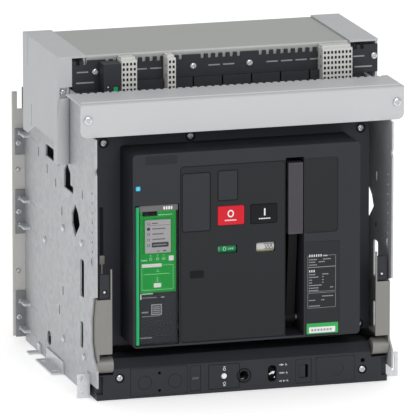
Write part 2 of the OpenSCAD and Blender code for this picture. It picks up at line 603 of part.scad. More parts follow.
module fascia() color("#3A3B40") difference() {
    union() {
        difference() {
            slab_y(front_y, frame_y - 0.3) round_rect([-fascia_x, fascia_z], [fascia_x, fascia_top], 5);
            slab_y(front_y + wall, frame_y + 1)
                rect([-fascia_x + wall, fascia_z + wall], [fascia_x - wall, fascia_top - wall]);
        }
        difference() {
            block([slot_x[0] - slot_wall, front_y + wall, slot_z[0] - slot_wall],
                [slot_x[1] + slot_wall, slot_back_y + slot_wall, slot_z[1] + slot_wall]);
            block([slot_x[0], front_y, slot_z[0]], [slot_x[1], slot_back_y, slot_z[1]]);
        }
    }
    rod_x(handle_pin_d + 1, slot_x[0] - 5, slot_x[0] + 1, handle_pin[0], handle_pin[1]);
    slab_y(front_y - 1, front_y + panel_back)
        round_rect([unit_x[1] + 1.5, fascia_z + 3], [slot_x[1], slot_z[1] - 3], 5);
    slab_y(front_y - 1, front_y + wall + 0.01) {
        rect([unit_x[0], unit_z[0]], [unit_x[1], unit_z[1]]);
        rect([slot_x[0], slot_z[0]], [slot_x[1], slot_z[1]]);
        for (r = [lock_plate, aux_plate]) grown(r, 0.3, 3);
        for (r = [off_rect, on_rect]) grown(r, button_gap, 2);
        for (r = [contact_window, spring_window]) round_rect(r[0], r[1], 2);
    }
    slab_y(front_y - 1, front_y + 1.2) round_rect(recess_rect[0], recess_rect[1], 5);
    slab_y(front_y - 1, front_y + 0.8) rect(label_rect[0], label_rect[1]);
    rod_y(6, front_y - 1, front_y + 1, -fascia_x + 7, fascia_z + 214);
}
module blank_plates() color("#3D3E43") for (r = [lock_plate, aux_plate])
    slab_y(front_y + panel_back, front_y + panel_back + 3) grown(r, 0, 3);
module rating_plate() color("#2C2D31") slab_y(front_y + 0.2, front_y + 0.8)
    rect(label_rect[0] + [0.2, 0.2], label_rect[1] - [0.2, 0.2]);

unit_y = front_y + 5;
hinge_d = 5;
hinge_x = unit_x[0] + 3.2;
hinge_y = front_y + 2.6;
hinge_z = [fascia_z + 4, fascia_z + 189];
module control_unit() color("#1B9A3E") difference() {
    block([unit_x[0] + 5.8, unit_y, unit_z[0] + 0.5], [unit_x[1] - 0.5, frame_y - 6, unit_z[1] - 0.5]);
    block([unit_x[0] + 12, unit_y - 1, fascia_z + 125], [unit_x[0] + 50, unit_y + 1.5, fascia_z + 171]);
}
module display() color("#BDB9BC") block([unit_x[0] + 12.2, unit_y - 0.5, fascia_z + 125.2],
    [unit_x[0] + 49.8, unit_y + 1.5, fascia_z + 170.8]);
module control_cover() color([0.8, 0.85, 0.85, 0.4])
    slab_y(front_y + 0.6, front_y + 2.1) rect([hinge_x + 2.6, hinge_z[0]], [unit_x[1] - 0.6, hinge_z[1] - 8]);
module cover_hinge() color("#27A567") rod_z(hinge_d, hinge_z[0], hinge_z[1], hinge_x, hinge_y);

// Push button: a cap in the fascia and a stem behind it
module push_button(r) {
    slab_y(front_y + 0.5, front_y + 7) grown(r, 0, 2);
    rod_y(8, front_y + 7, front_y + 44, (r[0][0] + r[1][0]) / 2, (r[0][1] + r[1][1]) / 2);
}
module off_button() color("#EE2C3A") push_button(off_rect);
module on_button() color("#232426") push_button(on_rect);
flag_d = 20;
flag_y = front_y + wall + 1 + flag_d / 2;
module flag(window)
    rod_x(flag_d, window[0][0] + 0.5, window[1][0] - 0.5, flag_y, (window[0][1] + window[1][1]) / 2);
module contact_flag() color("#1E7F53") flag(contact_window);
module spring_flag() color("#E4E4DF") flag(spring_window);

handle_pin = [back(15), fascia_z + 20];
grip_x = [slot_x[0] + 4, slot_x[1] - 1];
grip_z = [fascia_z + 139.6, slot_z[1] - 7.5];
// Charging lever: grip at the top, arm down to the hub
module charging_handle() color("#535055") difference() {
    union() {
        block([grip_x[0], front_y + 1.5, grip_z[0]], [grip_x[1], back(-4), grip_z[1]]);
        slab_x(grip_x[0] + 4, grip_x[1] - 4) polygon([[back(-6), grip_z[0] + 4],
            [back(-6), grip_z[1] - 6], [back(0), grip_z[1] - 6], [back(8), grip_z[0]],
            [back(22), handle_pin[1]], [back(8), handle_pin[1]]]);
        rod_x(17, grip_x[0] + 3, grip_x[1] - 3, handle_pin[0], handle_pin[1]);
    }
    rod_x(handle_pin_d + 2 * run_gap, 0, fascia_x, handle_pin[0], handle_pin[1]);
}
mech_x = slot_x[0] - 6;               // outer face of the mechanism's right plate
mech_left_x = -mech_x - 3;
cam_at = [frame_y + 36, 235];
// Two steel plates that carry the cam shaft and the handle's pin, tied by two spacers
module mechanism_plates() color("#85878A") {
    for (x = [mech_left_x, mech_x - 3]) slab_x(x, x + 3) difference() {
        polygon([[frame_y - 34, 80], [case_front_y - 1, 80], [case_front_y - 1, 300], [frame_y, 300],
            [frame_y, 175], [frame_y - 34, 120]]);
        translate(cam_at) circle(d = cam_d + 2 * run_gap);
    }
    for (z = [96, 288]) rod_x(12, mech_left_x + 3, mech_x - 3, frame_y + 62, z);
    rod_x(handle_pin_d, mech_x, slot_x[1] - 0.3, handle_pin[0], handle_pin[1]);
}
ratchet_teeth = 18;
ratchet_r = 30;
// Cam shaft with the ratchet wheel and the closing cam
module cam_shaft() color("#A0A1A4") {
    rod_x(cam_d, mech_left_x - 4, mech_x + 4, cam_at[0], cam_at[1]);
    slab_x(26, 33) difference() {
        translate(cam_at) polygon([for (i = [0 : 2 * ratchet_teeth - 1])
            let (r = i % 2 == 0 ? ratchet_r : ratchet_r - 4, a = (i - (i % 2) * 0.7) * 180 / ratchet_teeth)
            r * [cos(a), sin(a)]]);
        translate(cam_at) circle(d = cam_d);
    }
    slab_x(-9, 9) difference() {
        union() {
            translate(cam_at) circle(r = 20);
            translate(cam_at + [0, 12]) circle(r = 16);
        }
        translate(cam_at) circle(d = cam_d);
    }
}
spring_wire = 4;
spring_r = 13;
spring_turns = 7;
spring_h = 84;
spring_steps = 12 * spring_turns;
spring_sides = 8;
function spring_point(i, j) =
    let (turn = i * 360 / 12, a = j * 360 / spring_sides, r = spring_r + spring_wire / 2 * cos(a))
    [r * cos(turn), r * sin(turn), i * spring_h / spring_steps + spring_wire / 2 * sin(a)];
// Closing spring, one wire swept along a helix
module closing_spring() color("#6E7074") translate([-26, cam_at[0], 104]) polyhedron(
    points = [for (i = [0 : spring_steps], j = [0 : spring_sides - 1]) spring_point(i, j)],
    faces = concat(
        [[for (j = [0 : spring_sides - 1]) j]],
        [[for (j = [spring_sides - 1 : -1 : 0]) spring_steps * spring_sides + j]],
        [for (i = [0 : spring_steps - 1], j = [0 : spring_sides - 1])
            let (k = (j + 1) % spring_sides, a = i * spring_sides, b = a + spring_sides)
                [a + j, b + j, b + k, a + k]]));

// ---- poles ----
chamber = pole_pitch / 2 - 4;         // half width of a pole's chamber
case_z = 66;
shaft_at = [case_front_y + 30, 175];
arm_at = [case_back - 81, lower_z + 15];
arm_open = 20;
module case_front() color("#2A2B2E") difference() {
    block([-case_x, case_front_y, case_z], [case_x, case_split - 0.2, case_top]);
    for (pole = poles) translate([pole * pole_pitch, 0, 0])
        block([-chamber, case_front_y + 8, case_z + 10], [chamber, case_split + 1, case_top + 1]);
    rod_x(shaft_d + 2 * run_gap, -case_x + 6, case_x - 6, shaft_at[0], shaft_at[1]);
    both_sides() for (z = [110 : 30 : 290])
        block([case_x - 2, case_front_y + 6, z], [case_x + 1, case_split - 8, z + 18]);
}
module case_rear() color("#3A302C") difference() {
    block([-case_x, case_split, case_z], [case_x, case_back, case_top]);
    for (pole = poles) translate([pole * pole_pitch, 0, 0]) {
        block([-chamber, case_split - 1, case_z + 10], [chamber, case_back - 8, case_top + 1]);
        for (z = [lower_z, upper_z]) block([-bar_w / 2 - bar_gap, 0, z - bar_t / 2 - bar_gap],
            [bar_w / 2 + bar_gap, case_back + 1, z + bar_t / 2 + bar_gap]);
    }
    rod_x(contact_pin_d + 2 * run_gap, -case_x + 6, case_x - 6, arm_at[0], arm_at[1]);
}
chute_z = upper_z + 17;
// Arc chutes: a frame and a stack of splitter plates above each pole's contacts
module arc_chutes() color("#6B5A4C") for (pole = poles) translate([pole * pole_pitch, 0, 0]) {
    y0 = case_front_y + 14;
    y1 = case_back - 10;
    difference() {
        block([-chamber + 1, y0, chute_z], [chamber - 1, y1, case_top - 0.5]);
        block([-chamber + 5, y0 + 4, chute_z - 1], [chamber - 5, y1 - 4, case_top - 5]);
    }
    for (y = [y0 + 12 : 10 : y1 - 10])
        block([-chamber + 5, y, chute_z + 2], [chamber - 5, y + 2, case_top - 5]);
}
lever_l = 30;
// Pole shaft with one lever for each pole
module pole_shaft() color("#9A9B9E") {
    rod_x(shaft_d, -case_x + 7, case_x - 7, shaft_at[0], shaft_at[1]);
    for (pole = poles) translate([pole * pole_pitch, shaft_at[0], shaft_at[1]]) rotate([60, 0, 0])
        difference() {
            block([-5, 0, -8], [5, lever_l, 8]);
            rod_x(shaft_d - 1, -6, 6, 0, 0);
            rod_x(6, -6, 6, lever_l - 7, 0);
        }
}
arm_top = upper_z + 8;
// Moving contacts, drawn shut and turned to their open position about the contact pin
module moving_contacts() color("#C08A5A") {
    for (pole = poles) translate([pole * pole_pitch, arm_at[0], arm_at[1]]) rotate([arm_open, 0, 0]) {
        for (f = [-2.5 : 1 : 2.5]) translate([f * 12, 0, 0]) difference() {
            union() {
                rod_x(22, -5, 5, 0, 0);
                block([-5, -7, 0], [5, 5, arm_top - arm_at[1]]);
                block([-5, 5, arm_top - arm_at[1] - 18], [5, 9, arm_top - arm_at[1]]);
            }
            rod_x(contact_pin_d, -6, 6, 0, 0);
        }
    }
    rod_x(contact_pin_d, -case_x + 7, case_x - 7, arm_at[0], arm_at[1]);
}
// Upper bars end in the fixed contacts, lower bars lead to the moving ones
module breaker_bars() color("#B87548") for (pole = poles) translate([pole * pole_pitch, 0, 0]) {
    block([-bar_w / 2, arm_at[0] + 16, upper_z - bar_t / 2], [bar_w / 2, pocket_y, upper_z + bar_t / 2]);
    block([-bar_w / 2, arm_at[0] + 9.5, upper_z - 9], [bar_w / 2, arm_at[0] + 16, upper_z + 8]);
    block([-bar_w / 2, arm_at[0] + 19, lower_z - bar_t / 2], [bar_w / 2, pocket_y, lower_z + bar_t / 2]);
}
module current_sensors() color("#2D4A63") for (pole = poles)
    translate([pole * pole_pitch, case_back - 34, lower_z]) difference() {
        slab_y(0, 22) round_rect([-bar_w / 2 - 9, -20], [bar_w / 2 + 9, 20], 5);
        block([-bar_w / 2 - 1, -1, -bar_t / 2 - 1], [bar_w / 2 + 1, 23, bar_t / 2 + 1]);
    }
finger_pitch = 9;
finger_w = 7;
cluster_y = [case_back + 4, pocket_y + 22];
// Jaws of spring-loaded fingers, above and below each bar, held in a cage
module contact_clusters() for (pole = poles, z = [lower_z, upper_z]) translate([pole * pole_pitch, 0, z]) {
    color("#B9B3A6") for (f = [-4 : 4], s = [0, 1]) mirror([0, 0, s])
        block([f * finger_pitch - finger_w / 2, cluster_y[0], bar_t / 2],
            [f * finger_pitch + finger_w / 2, cluster_y[1], cluster_h / 2]);
    color("#222326") difference() {
        block([-43.5, cluster_y[0] + 6, -cluster_h / 2 - 2], [43.5, cluster_y[0] + 12, cluster_h / 2 + 2]);
        block([-41, cluster_y[0], -cluster_h / 2], [41, cluster_y[0] + 20, cluster_h / 2]);
    }
}
// Moving halves of the sliding control contacts, with their pins
module control_plugs() color("#2B2C2F") for (x = socket_x) {
    block([x - 18, frame_y + frame_t + 16, case_top + 1.5], [x + 18, cap_y + 1, breaker_top - 1]);
    for (p = [-12 : 6 : 12]) rod_y(2.4, cap_y + 1, cap_y + 14, x + p, case_top + 7);
}

side_plate_left();
side_plate_right();
bottom_tray();
rear_base();
rear_flanges();
crossbar();
top_panel();
cap_left();
cap_right();
terminal_rack();
terminal_blocks();
position_switch_block();
control_sockets();
cradle_screws();
cradle_rivets();
mounting_feet();
racking_base();
keylock_plate();
base_blank_plate();
padlock_tab();
release_button();
racking_screw();
position_pointer();
crank_handle();
racking_carriage();
line_terminals();
load_terminals();
shutter_upper();
shutter_lower();
rail_guides();
rail_left();
rail_right();
rail_catches();
breaker_side_plates();
front_frame();
fascia();
frame_screws();
control_unit();
display();
control_cover();
cover_hinge();
blank_plates();
rating_plate();
on_button();
off_button();
contact_flag();
spring_flag();
charging_handle();
mechanism_plates();
cam_shaft();
closing_spring();
case_front();
case_rear();
arc_chutes();
pole_shaft();
moving_contacts();
breaker_bars();
current_sensors();
contact_clusters();
control_plugs();
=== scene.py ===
"""Finished look of a three-pole drawout air circuit breaker in its cradle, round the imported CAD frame.

Lengths inside this file are millimetres until a mesh is written. X is across, Y runs from the face
to the rear and Z is up, as in the CAD frame.
"""

import json
import logging
import math
from dataclasses import dataclass, field
from enum import Enum
from functools import partial
from typing import Callable, Optional, Sequence, Union

import bmesh
import bpy
import numpy as np
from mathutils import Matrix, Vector

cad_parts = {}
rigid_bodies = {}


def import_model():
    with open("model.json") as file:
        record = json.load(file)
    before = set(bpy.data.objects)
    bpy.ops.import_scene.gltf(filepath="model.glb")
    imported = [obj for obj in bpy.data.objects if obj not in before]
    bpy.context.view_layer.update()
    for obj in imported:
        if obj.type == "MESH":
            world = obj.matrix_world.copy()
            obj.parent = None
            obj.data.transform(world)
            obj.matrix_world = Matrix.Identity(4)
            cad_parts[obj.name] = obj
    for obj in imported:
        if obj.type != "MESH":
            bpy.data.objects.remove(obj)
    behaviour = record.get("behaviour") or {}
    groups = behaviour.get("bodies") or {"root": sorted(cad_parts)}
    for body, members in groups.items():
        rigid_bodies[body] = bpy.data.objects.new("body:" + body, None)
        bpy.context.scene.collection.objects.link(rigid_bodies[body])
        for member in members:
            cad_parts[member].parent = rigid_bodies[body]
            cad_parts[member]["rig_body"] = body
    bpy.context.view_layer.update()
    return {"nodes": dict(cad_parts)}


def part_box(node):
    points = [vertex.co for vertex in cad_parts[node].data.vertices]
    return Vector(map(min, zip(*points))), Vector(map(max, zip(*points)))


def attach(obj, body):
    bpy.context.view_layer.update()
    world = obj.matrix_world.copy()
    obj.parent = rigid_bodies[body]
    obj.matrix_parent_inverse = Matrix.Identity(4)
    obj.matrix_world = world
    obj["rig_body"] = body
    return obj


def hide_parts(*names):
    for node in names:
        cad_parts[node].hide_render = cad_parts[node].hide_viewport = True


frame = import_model()
LOG = logging.getLogger("breaker")
MM = 0.001
PRINT = 0.05  # thickness of printed ink that stands on a face
HAIR = 0.06  # gap that keeps two faces from lying in one plane
SUNK = 0.4  # how far ink and seams go in behind their face


class Facing(Enum):
    """Which way a piece faces: the axes of its outline (across, up) and of its depth."""

    FRONT = (0, 2, 1)
    SIDE = (1, 2, 0)


# ---- finishes -------------------------------------------------------------------------------


def linear(code: str, tone: float = 1.0) -> tuple[float, float, float, float]:
    """Linear colour of an sRGB hex value.

    Args:
        code: the colour as "#RRGGBB".
        tone: factor on the linear value, for a lighter or darker shade of the same colour.

    Returns:
        Red, green, blue and alpha for a shader socket.
    """
    channels = np.array([int(code[i : i + 2], 16) / 255 for i in (1, 3, 5)])
    low, high = channels / 12.92, ((channels + 0.055) / 1.055) ** 2.4
    value = np.clip(np.where(channels <= 0.04045, low, high) * tone, 0, 1)
    return (float(value[0]), float(value[1]), float(value[2]), 1.0)


def add_node(
    tree: bpy.types.NodeTree, kind: str, links: Optional[dict] = None, **settings: str
) -> bpy.types.Node:
    """Adds a node with its settings and links.

    Args:
        tree: the material's node tree.
        kind: the node's type name, without the prefix that all of them share.
        links: for an input's name or number, either a value or the output that feeds it.
        **settings: attributes of the node, by name.

    Returns:
        The new node.
    """
    node = tree.nodes.new(f"ShaderNode{kind}")
    for name, value in settings.items():
        setattr(node, name, value)
    for key, value in (links or {}).items():
        if isinstance(value, bpy.types.NodeSocket):
            tree.links.new(value, node.inputs[key])
        else:
            node.inputs[key].default_value = value
    return node


def per_metre(size_mm: float) -> float:
    """Texture scale whose features are size_mm across, since Object coordinates are in metres."""
    return 1 / (size_mm * MM)


@dataclass(frozen=True)
class Surface:
    """A material in the making: its node tree, its shader, and the coordinates that patterns read."""

    tree: bpy.types.NodeTree
    shader: bpy.types.Node
    place: bpy.types.NodeSocket

    def fix(self, name: str, value: Union[float, Sequence[float]]) -> None:
        """Sets what is the same all over the surface on the shader's own socket."""
        self.shader.inputs[name].default_value = value

    def feed(self, name: str, source: bpy.types.NodeSocket) -> None:
        """Lets an output drive one of the shader's sockets."""
        self.tree.links.new(source, self.shader.inputs[name])


@dataclass(frozen=True)
class Finish:
    """A surface: its colour in sRGB, how rough it is, and how its pattern is made."""

    name: str
    colour: str
    rough: float
    metallic: float = 0.0

    def dress(self, on: Surface) -> None:
        """Adds the pattern's nodes, on Object coordinates; each kind of finish has its own."""
        raise NotImplementedError

    def material(self) -> bpy.types.Material:
        """The finish as a material, made once."""
        found = bpy.data.materials.get(self.name)
        if found:
            return found
        made = bpy.data.materials.new(self.name)
        made.use_nodes = True
        tree = made.node_tree
        on = Surface(tree, tree.nodes["Principled BSDF"], add_node(tree, "TexCoord").outputs["Object"])
        on.fix("Metallic", self.metallic)
        on.fix("Roughness", self.rough)
        self.dress(on)
        return made

    def mottle(self, on: Surface, share: bpy.types.NodeSocket, drift: float) -> None:
        """Feeds the base colour with a darker and a lighter shade of the finish, mixed by share."""
        shades = {6: linear(self.colour, 1 - drift), 7: linear(self.colour, 1 + drift)}
        tone = add_node(on.tree, "Mix", {0: share, **shades}, data_type="RGBA")
        on.feed("Base Color", tone.outputs[2])

    def raise_pattern(
        self,
        on: Surface,
        height: bpy.types.NodeSocket,
        strength: float,
        depth_mm: float,
        spread: float = 0.0,
        sheen: Optional[bpy.types.NodeSocket] = None,
    ) -> None:
        """Lets a pattern stand up from the surface and change its sheen.

        Args:
            on: the material in the making.
            height: the pattern.
            strength: strength of the relief.
            depth_mm: depth of the relief.
            spread: how far the roughness goes below and above the finish's own; 0 leaves it even.
            sheen: the pattern that the roughness follows, if it is another one.
        """
        relief = {"Height": height, "Strength": strength, "Distance": depth_mm * MM}
        on.feed("Normal", add_node(on.tree, "Bump", relief).outputs[0])
        if spread:
            ends = {"To Min": self.rough - spread, "To Max": self.rough + spread}
            gloss = add_node(on.tree, "MapRange", {"Value": sheen or height, **ends})
            on.feed("Roughness", gloss.outputs[0])


@dataclass(frozen=True)
class MouldedPlastic(Finish):
    """Glass-filled polyamide from a spark-eroded mould: a soft even sheen over a fine grain.

    The real grain is about 0.2 mm, too fine to show, so it is drawn at grain_mm.
    """

    grain_mm: float = 1.3
    grain_depth_mm: float = 0.05
    cloud_mm: float = 60.0
    drift: float = 0.05
    gloss: float = 0.16

    def dress(self, on: Surface) -> None:
        """Slow drift of the tone, and a grain that shows in bump and roughness."""
        cloud, grain = (
            add_node(on.tree, "TexNoise", {"Vector": on.place, "Scale": per_metre(size), "Detail": detail})
            for size, detail in ((self.cloud_mm, 3.0), (self.grain_mm, 2.0))
        )
        self.mottle(on, cloud.outputs[0], self.drift)
        on.fix("Specular IOR Level", self.gloss)
        self.raise_pattern(on, grain.outputs[0], 0.5, self.grain_depth_mm, 0.07)


@dataclass(frozen=True)
class GalvanisedSheet(Finish):
    """Hot-dip galvanised steel sheet: faint crystals of zinc, each of its own tone and sheen."""

    spangle_mm: float = 7.0
    drift: float = 0.055
    wander: float = 0.004

    def dress(self, on: Surface) -> None:
        """Voronoi cells with wandering borders give the crystals their tone."""
        scale = per_metre(self.spangle_mm)
        wobble = add_node(on.tree, "TexNoise", {"Vector": on.place, "Scale": scale, "Detail": 2.0})
        shift = {0: wobble.outputs["Color"], 1: (self.wander,) * 3, 2: on.place}
        bent = add_node(on.tree, "VectorMath", shift, operation="MULTIPLY_ADD")
        cells = add_node(on.tree, "TexVoronoi", {"Vector": bent.outputs[0], "Scale": scale}).outputs["Color"]
        self.mottle(on, cells, self.drift)
        self.raise_pattern(on, wobble.outputs[0], 0.3, 0.08, -0.08, cells)


@dataclass(frozen=True)
class RolledMetal(Finish):
    """Drawn, brushed or plated metal: fine streaks along one axis that stretch each highlight.

    The real streaks are under 0.1 mm, so they are drawn streak_mm wide.
    """

    along: tuple[float, float, float] = (1.0, 1.0, 0.04)
    streak_mm: float = 1.0
    drift: float = 0.07

    def dress(self, on: Surface) -> None:
        """One noise, squeezed along the rolling direction, gives tone, roughness and relief."""
        squeezed = add_node(
            on.tree, "Mapping", {"Vector": on.place, "Scale": self.along}, vector_type="POINT"
        )
        fine = {"Vector": squeezed.outputs[0], "Scale": per_metre(self.streak_mm), "Detail": 3.0}
        streak = add_node(on.tree, "TexNoise", fine).outputs[0]
        self.mottle(on, streak, self.drift)
        self.raise_pattern(on, streak, 0.35, 0.03, 0.1)


@dataclass(frozen=True)
class PowderCoat(Finish):
    """Polyester powder coat on sheet steel: an even satin film with a shallow orange peel."""

    peel_mm: float = 2.2
    film_mm: float = 90.0
    drift: float = 0.02

    def dress(self, on: Surface) -> None:
        """A smooth noise for the peel, and a slow one for the film's thickness."""
        peel, film = (
            add_node(on.tree, "TexNoise", {"Vector": on.place, "Scale": per_metre(size), "Detail": detail})
            for size, detail in ((self.peel_mm, 1.0), (self.film_mm, 2.0))
        )
        self.mottle(on, film.outputs[0], self.drift)
        self.raise_pattern(on, peel.outputs[0], 0.35, 0.05)


@dataclass(frozen=True)
class ThermosetMoulding(Finish):
    """Glass-reinforced polyester moulding compound: matt, with pale flecks of fibre."""

    fleck_mm: float = 2.5
    fleck: str = "#8A8480"

    def dress(self, on: Surface) -> None:
        """A noise cut off near its top leaves the flecks, over a rough ground."""
        noise = {"Vector": on.place, "Scale": per_metre(self.fleck_mm), "Detail": 3.0}
        fibre = add_node(on.tree, "TexNoise", noise).outputs[0]
        share = add_node(on.tree, "MapRange", {"Value": fibre, "From Min": 0.55, "From Max": 0.8})
        shades = {0: share.outputs[0], 6: linear(self.colour), 7: linear(self.fleck, 0.6)}
        tone = add_node(on.tree, "Mix", shades, data_type="RGBA")
        on.feed("Base Color", tone.outputs[2])
        self.raise_pattern(on, fibre, 0.4, 0.06)


@dataclass(frozen=True)
class PressedBoard(Finish):
    """Insulating laminate or vulcanised board: pressed layers that show as a weave of fine lines."""

    ply_mm: float = 1.6
    drift: float = 0.12

    def dress(self, on: Surface) -> None:
        """Two crossed wave bands make the cloth under the resin."""
        wave = {"Vector": on.place, "Scale": per_metre(self.ply_mm) / 6, "Distortion": 1.5, "Detail": 2.0}
        warp, weft = (
            add_node(on.tree, "TexWave", wave, bands_direction=way).outputs[1] for way in ("X", "Z")
        )
        cloth = add_node(on.tree, "Math", {0: warp, 1: weft}, operation="MULTIPLY").outputs[0]
        self.mottle(on, cloth, self.drift)
        self.raise_pattern(on, cloth, 0.3, 0.04)


@dataclass(frozen=True)
class PrintedInk(Finish):
    """Pad-printed or screen-printed ink: an even film, a little thin where the screen left it."""

    screen_mm: float = 0.9
    drift: float = 0.06

    def dress(self, on: Surface) -> None:
        """A fine noise thins the ink by a few percent."""
        noise = {"Vector": on.place, "Scale": per_metre(self.screen_mm), "Detail": 2.0}
        self.mottle(on, add_node(on.tree, "TexNoise", noise).outputs[0], self.drift)


@dataclass(frozen=True)
class DisplayGlass(Finish):
    """Reflective liquid-crystal display under a clear window: a flat pale field with a hard gloss."""

    dot_mm: float = 1.0
    drift: float = 0.03

    def dress(self, on: Surface) -> None:
        """A dot lattice, drawn at dot_mm since the real one is far finer, under a clear coat."""
        lattice = {"Vector": on.place, "Scale": per_metre(self.dot_mm), "Randomness": 0.0}
        self.mottle(on, add_node(on.tree, "TexVoronoi", lattice).outputs[0], self.drift)
        on.fix("Coat Weight", 0.6)
        on.fix("Coat Roughness", 0.08)


@dataclass(frozen=True)
class ClearPolycarbonate(Finish):
    """Clear polycarbonate window: nearly invisible, with a gloss where it catches the light."""

    cover: float = 0.07
    wipe_mm: float = 25.0

    def dress(self, on: Surface) -> None:
        """Mostly see-through, with faint wiping marks in the gloss."""
        noise = {"Vector": on.place, "Scale": per_metre(self.wipe_mm), "Detail": 2.0}
        wiped = add_node(on.tree, "TexNoise", noise).outputs[0]
        gloss = add_node(on.tree, "MapRange", {"Value": wiped, "To Min": 0.04, "To Max": self.rough * 2})
        on.feed("Roughness", gloss.outputs[0])
        on.fix("Base Color", linear(self.colour))
        on.fix("Alpha", self.cover)


@dataclass(frozen=True)
class LitLens(Finish):
    """Small diffusing lens over a light-emitting diode: brightest at its middle."""

    centre: tuple[float, float, float] = (0.0, 0.0, 0.0)
    reach_mm: float = 3.5
    core: str = "#4FC3E0"
    glow: float = 0.2

    def dress(self, on: Surface) -> None:
        """The distance from the lens's centre fades the core colour into the rim's."""
        span = {0: on.place, 1: tuple(c * MM for c in self.centre)}
        away = add_node(on.tree, "VectorMath", span, operation="DISTANCE").outputs["Value"]
        share = add_node(on.tree, "MapRange", {"Value": away, "From Max": self.reach_mm * MM})
        shades = {0: share.outputs[0], 6: linear(self.core), 7: linear(self.colour)}
        tone = add_node(on.tree, "Mix", shades, data_type="RGBA")
        for name in ("Base Color", "Emission Color"):
            on.feed(name, tone.outputs[2])
        on.fix("Emission Strength", self.glow)


GALVANISED = GalvanisedSheet("galvanised_sheet", "#B2B3B6", 0.5, 0.5)
# painted light: a less metallic copy of the galvanised sheet that reads lighter on the side plates' inner
# faces, which sit in shade
GALVANISED_INNER_PAINTED_LIGHT = GalvanisedSheet("galvanised_sheet_inner_painted_light", "#B2B3B5", 0.6, 0.15)
# painted shade: a darker copy of the galvanised sheet for the side plates' folded fixing tabs
TAB_ZINC_PAINTED_SHADE = GalvanisedSheet("zinc_tab_painted_shade", "#8F9092", 0.5, 0.5)
# bright zinc plate of the mounting feet; on the side plates' gussets this lighter copy of the galvanised sheet
# is a painted highlight
BRIGHT_ZINC_AND_HIGHLIGHT = GalvanisedSheet("bright_zinc_and_painted_highlight", "#D2D3D6", 0.36, 0.5, spangle_mm=5.0, drift=0.05)
RAIL_ZINC = RolledMetal("zinc_rail_steel", "#858480", 0.5, 0.4, along=(1.0, 1.0, 0.05))
FLANGE_ZINC = RolledMetal("zinc_flange_steel", "#CCCBC7", 0.5, 0.3, along=(1.0, 1.0, 0.05))
GREY_COAT = PowderCoat("light_grey_powder_coat", "#BDBEC0", 0.45)
# painted highlight: a lighter copy of the crossbar's powder coat for the bead along its top
BEAD_COAT_HIGHLIGHT = PowderCoat("light_grey_coat_painted_highlight", "#CFD0D2", 0.4)
PANEL_COAT = PowderCoat("mid_grey_powder_coat", "#A5A7A4", 0.5)
CAP_GREY = MouldedPlastic("light_grey_polycarbonate", "#BDBEC0", 0.5)
BLACK_NYLON = MouldedPlastic("black_polyamide", "#35363A", 0.52)
CHARCOAL = MouldedPlastic("charcoal_polycarbonate", "#303136", 0.5)
CHARCOAL_DARK = MouldedPlastic("charcoal_panel", "#27282B", 0.52)
FRAME_BLACK = MouldedPlastic("charcoal_frame", "#38393F", 0.5)
BASE_BLACK = MouldedPlastic("charcoal_base", "#323338", 0.48)
# near-black used mostly as painted shade: laid into holes, slots, grooves, screw seats, a notch, the handle's
# arm and behind the pointer's window; also a few black parts
SHADOW_BLACK = MouldedPlastic("black_and_painted_shade", "#121214", 0.6, grain_depth_mm=0.02)
TERMINAL_GREY = MouldedPlastic("terminal_polyamide", "#D4D4D1", 0.5)
WHITE_ABS = MouldedPlastic("white_abs", "#F2F2F2", 0.35, grain_depth_mm=0.02)
RED_ABS = MouldedPlastic("red_abs", "#CB1F2D", 0.38, grain_depth_mm=0.02)
BUTTON_BLACK = MouldedPlastic("black_abs", "#1B1C1F", 0.5, grain_depth_mm=0.02, gloss=0.1)
HANDLE_GREY = MouldedPlastic("handle_polyamide", "#4C494E", 0.52)
BAR_GREY = MouldedPlastic("unit_top_grey", "#6B696A", 0.45, grain_depth_mm=0.02)
UNIT_GREEN = MouldedPlastic("unit_panel_green", "#1B9A3E", 0.38, grain_depth_mm=0.02)
HINGE_GREEN = MouldedPlastic("hinge_green", "#27A567", 0.35, grain_depth_mm=0.02)
SENSOR_BLUE = MouldedPlastic("sensor_resin", "#2D4A63", 0.4)
FLAG_GREEN = MouldedPlastic("flag_drum_green", "#1C7B4E", 0.4, grain_depth_mm=0.02)
FLAG_WHITE = MouldedPlastic("flag_drum_white", "#C4C4BF", 0.4, grain_depth_mm=0.02)
LABEL_BLACK = MouldedPlastic("label_film", "#2A2B2E", 0.5, grain_depth_mm=0.01)
THERMOSET = ThermosetMoulding("polyester_compound", "#4A4644", 0.55)
CASE_BROWN = ThermosetMoulding("brown_polyester_compound", "#3A322E", 0.55)
CHUTE_BOARD = PressedBoard("arc_chute_board", "#6B5A4C", 0.6)
SHUTTER_BOARD = PressedBoard("shutter_laminate", "#C9B27A", 0.4)
SCREW_ZINC = RolledMetal("zinc_plated_screw", "#C8C9CC", 0.26, 0.85, along=(1.0, 0.3, 1.0), streak_mm=0.8)
TOOL_STEEL = RolledMetal("bright_steel", "#A6A7AA", 0.36, 0.8, along=(0.05, 1.0, 1.0))
SIDE_STEEL = RolledMetal("breaker_side_steel", "#77797C", 0.45, 0.6, along=(1.0, 1.0, 0.05))
SPRING_STEEL = RolledMetal("oiled_spring_steel", "#6E7074", 0.34, 0.85, along=(1.0, 1.0, 0.3))
COPPER = RolledMetal("bare_copper", "#C07A4C", 0.32, 1.0, along=(1.0, 0.04, 1.0))
SILVERED = RolledMetal("silvered_copper", "#C9C3B6", 0.28, 0.95, along=(1.0, 0.05, 1.0))
SCREEN = DisplayGlass("display_film", "#A6A4A7", 0.4)
RIM_GREEN = MouldedPlastic("display_rim_green", "#178A37", 0.42, grain_depth_mm=0.02)
CLEAR = ClearPolycarbonate("clear_polycarbonate", "#1C2020", 0.08)
INK_WHITE = PrintedInk("white_ink", "#E2E2E2", 0.5)
INK_GREY = PrintedInk("grey_ink", "#989A9C", 0.5)
INK_DIM = PrintedInk("faint_grey_ink", "#5A5B60", 0.5)
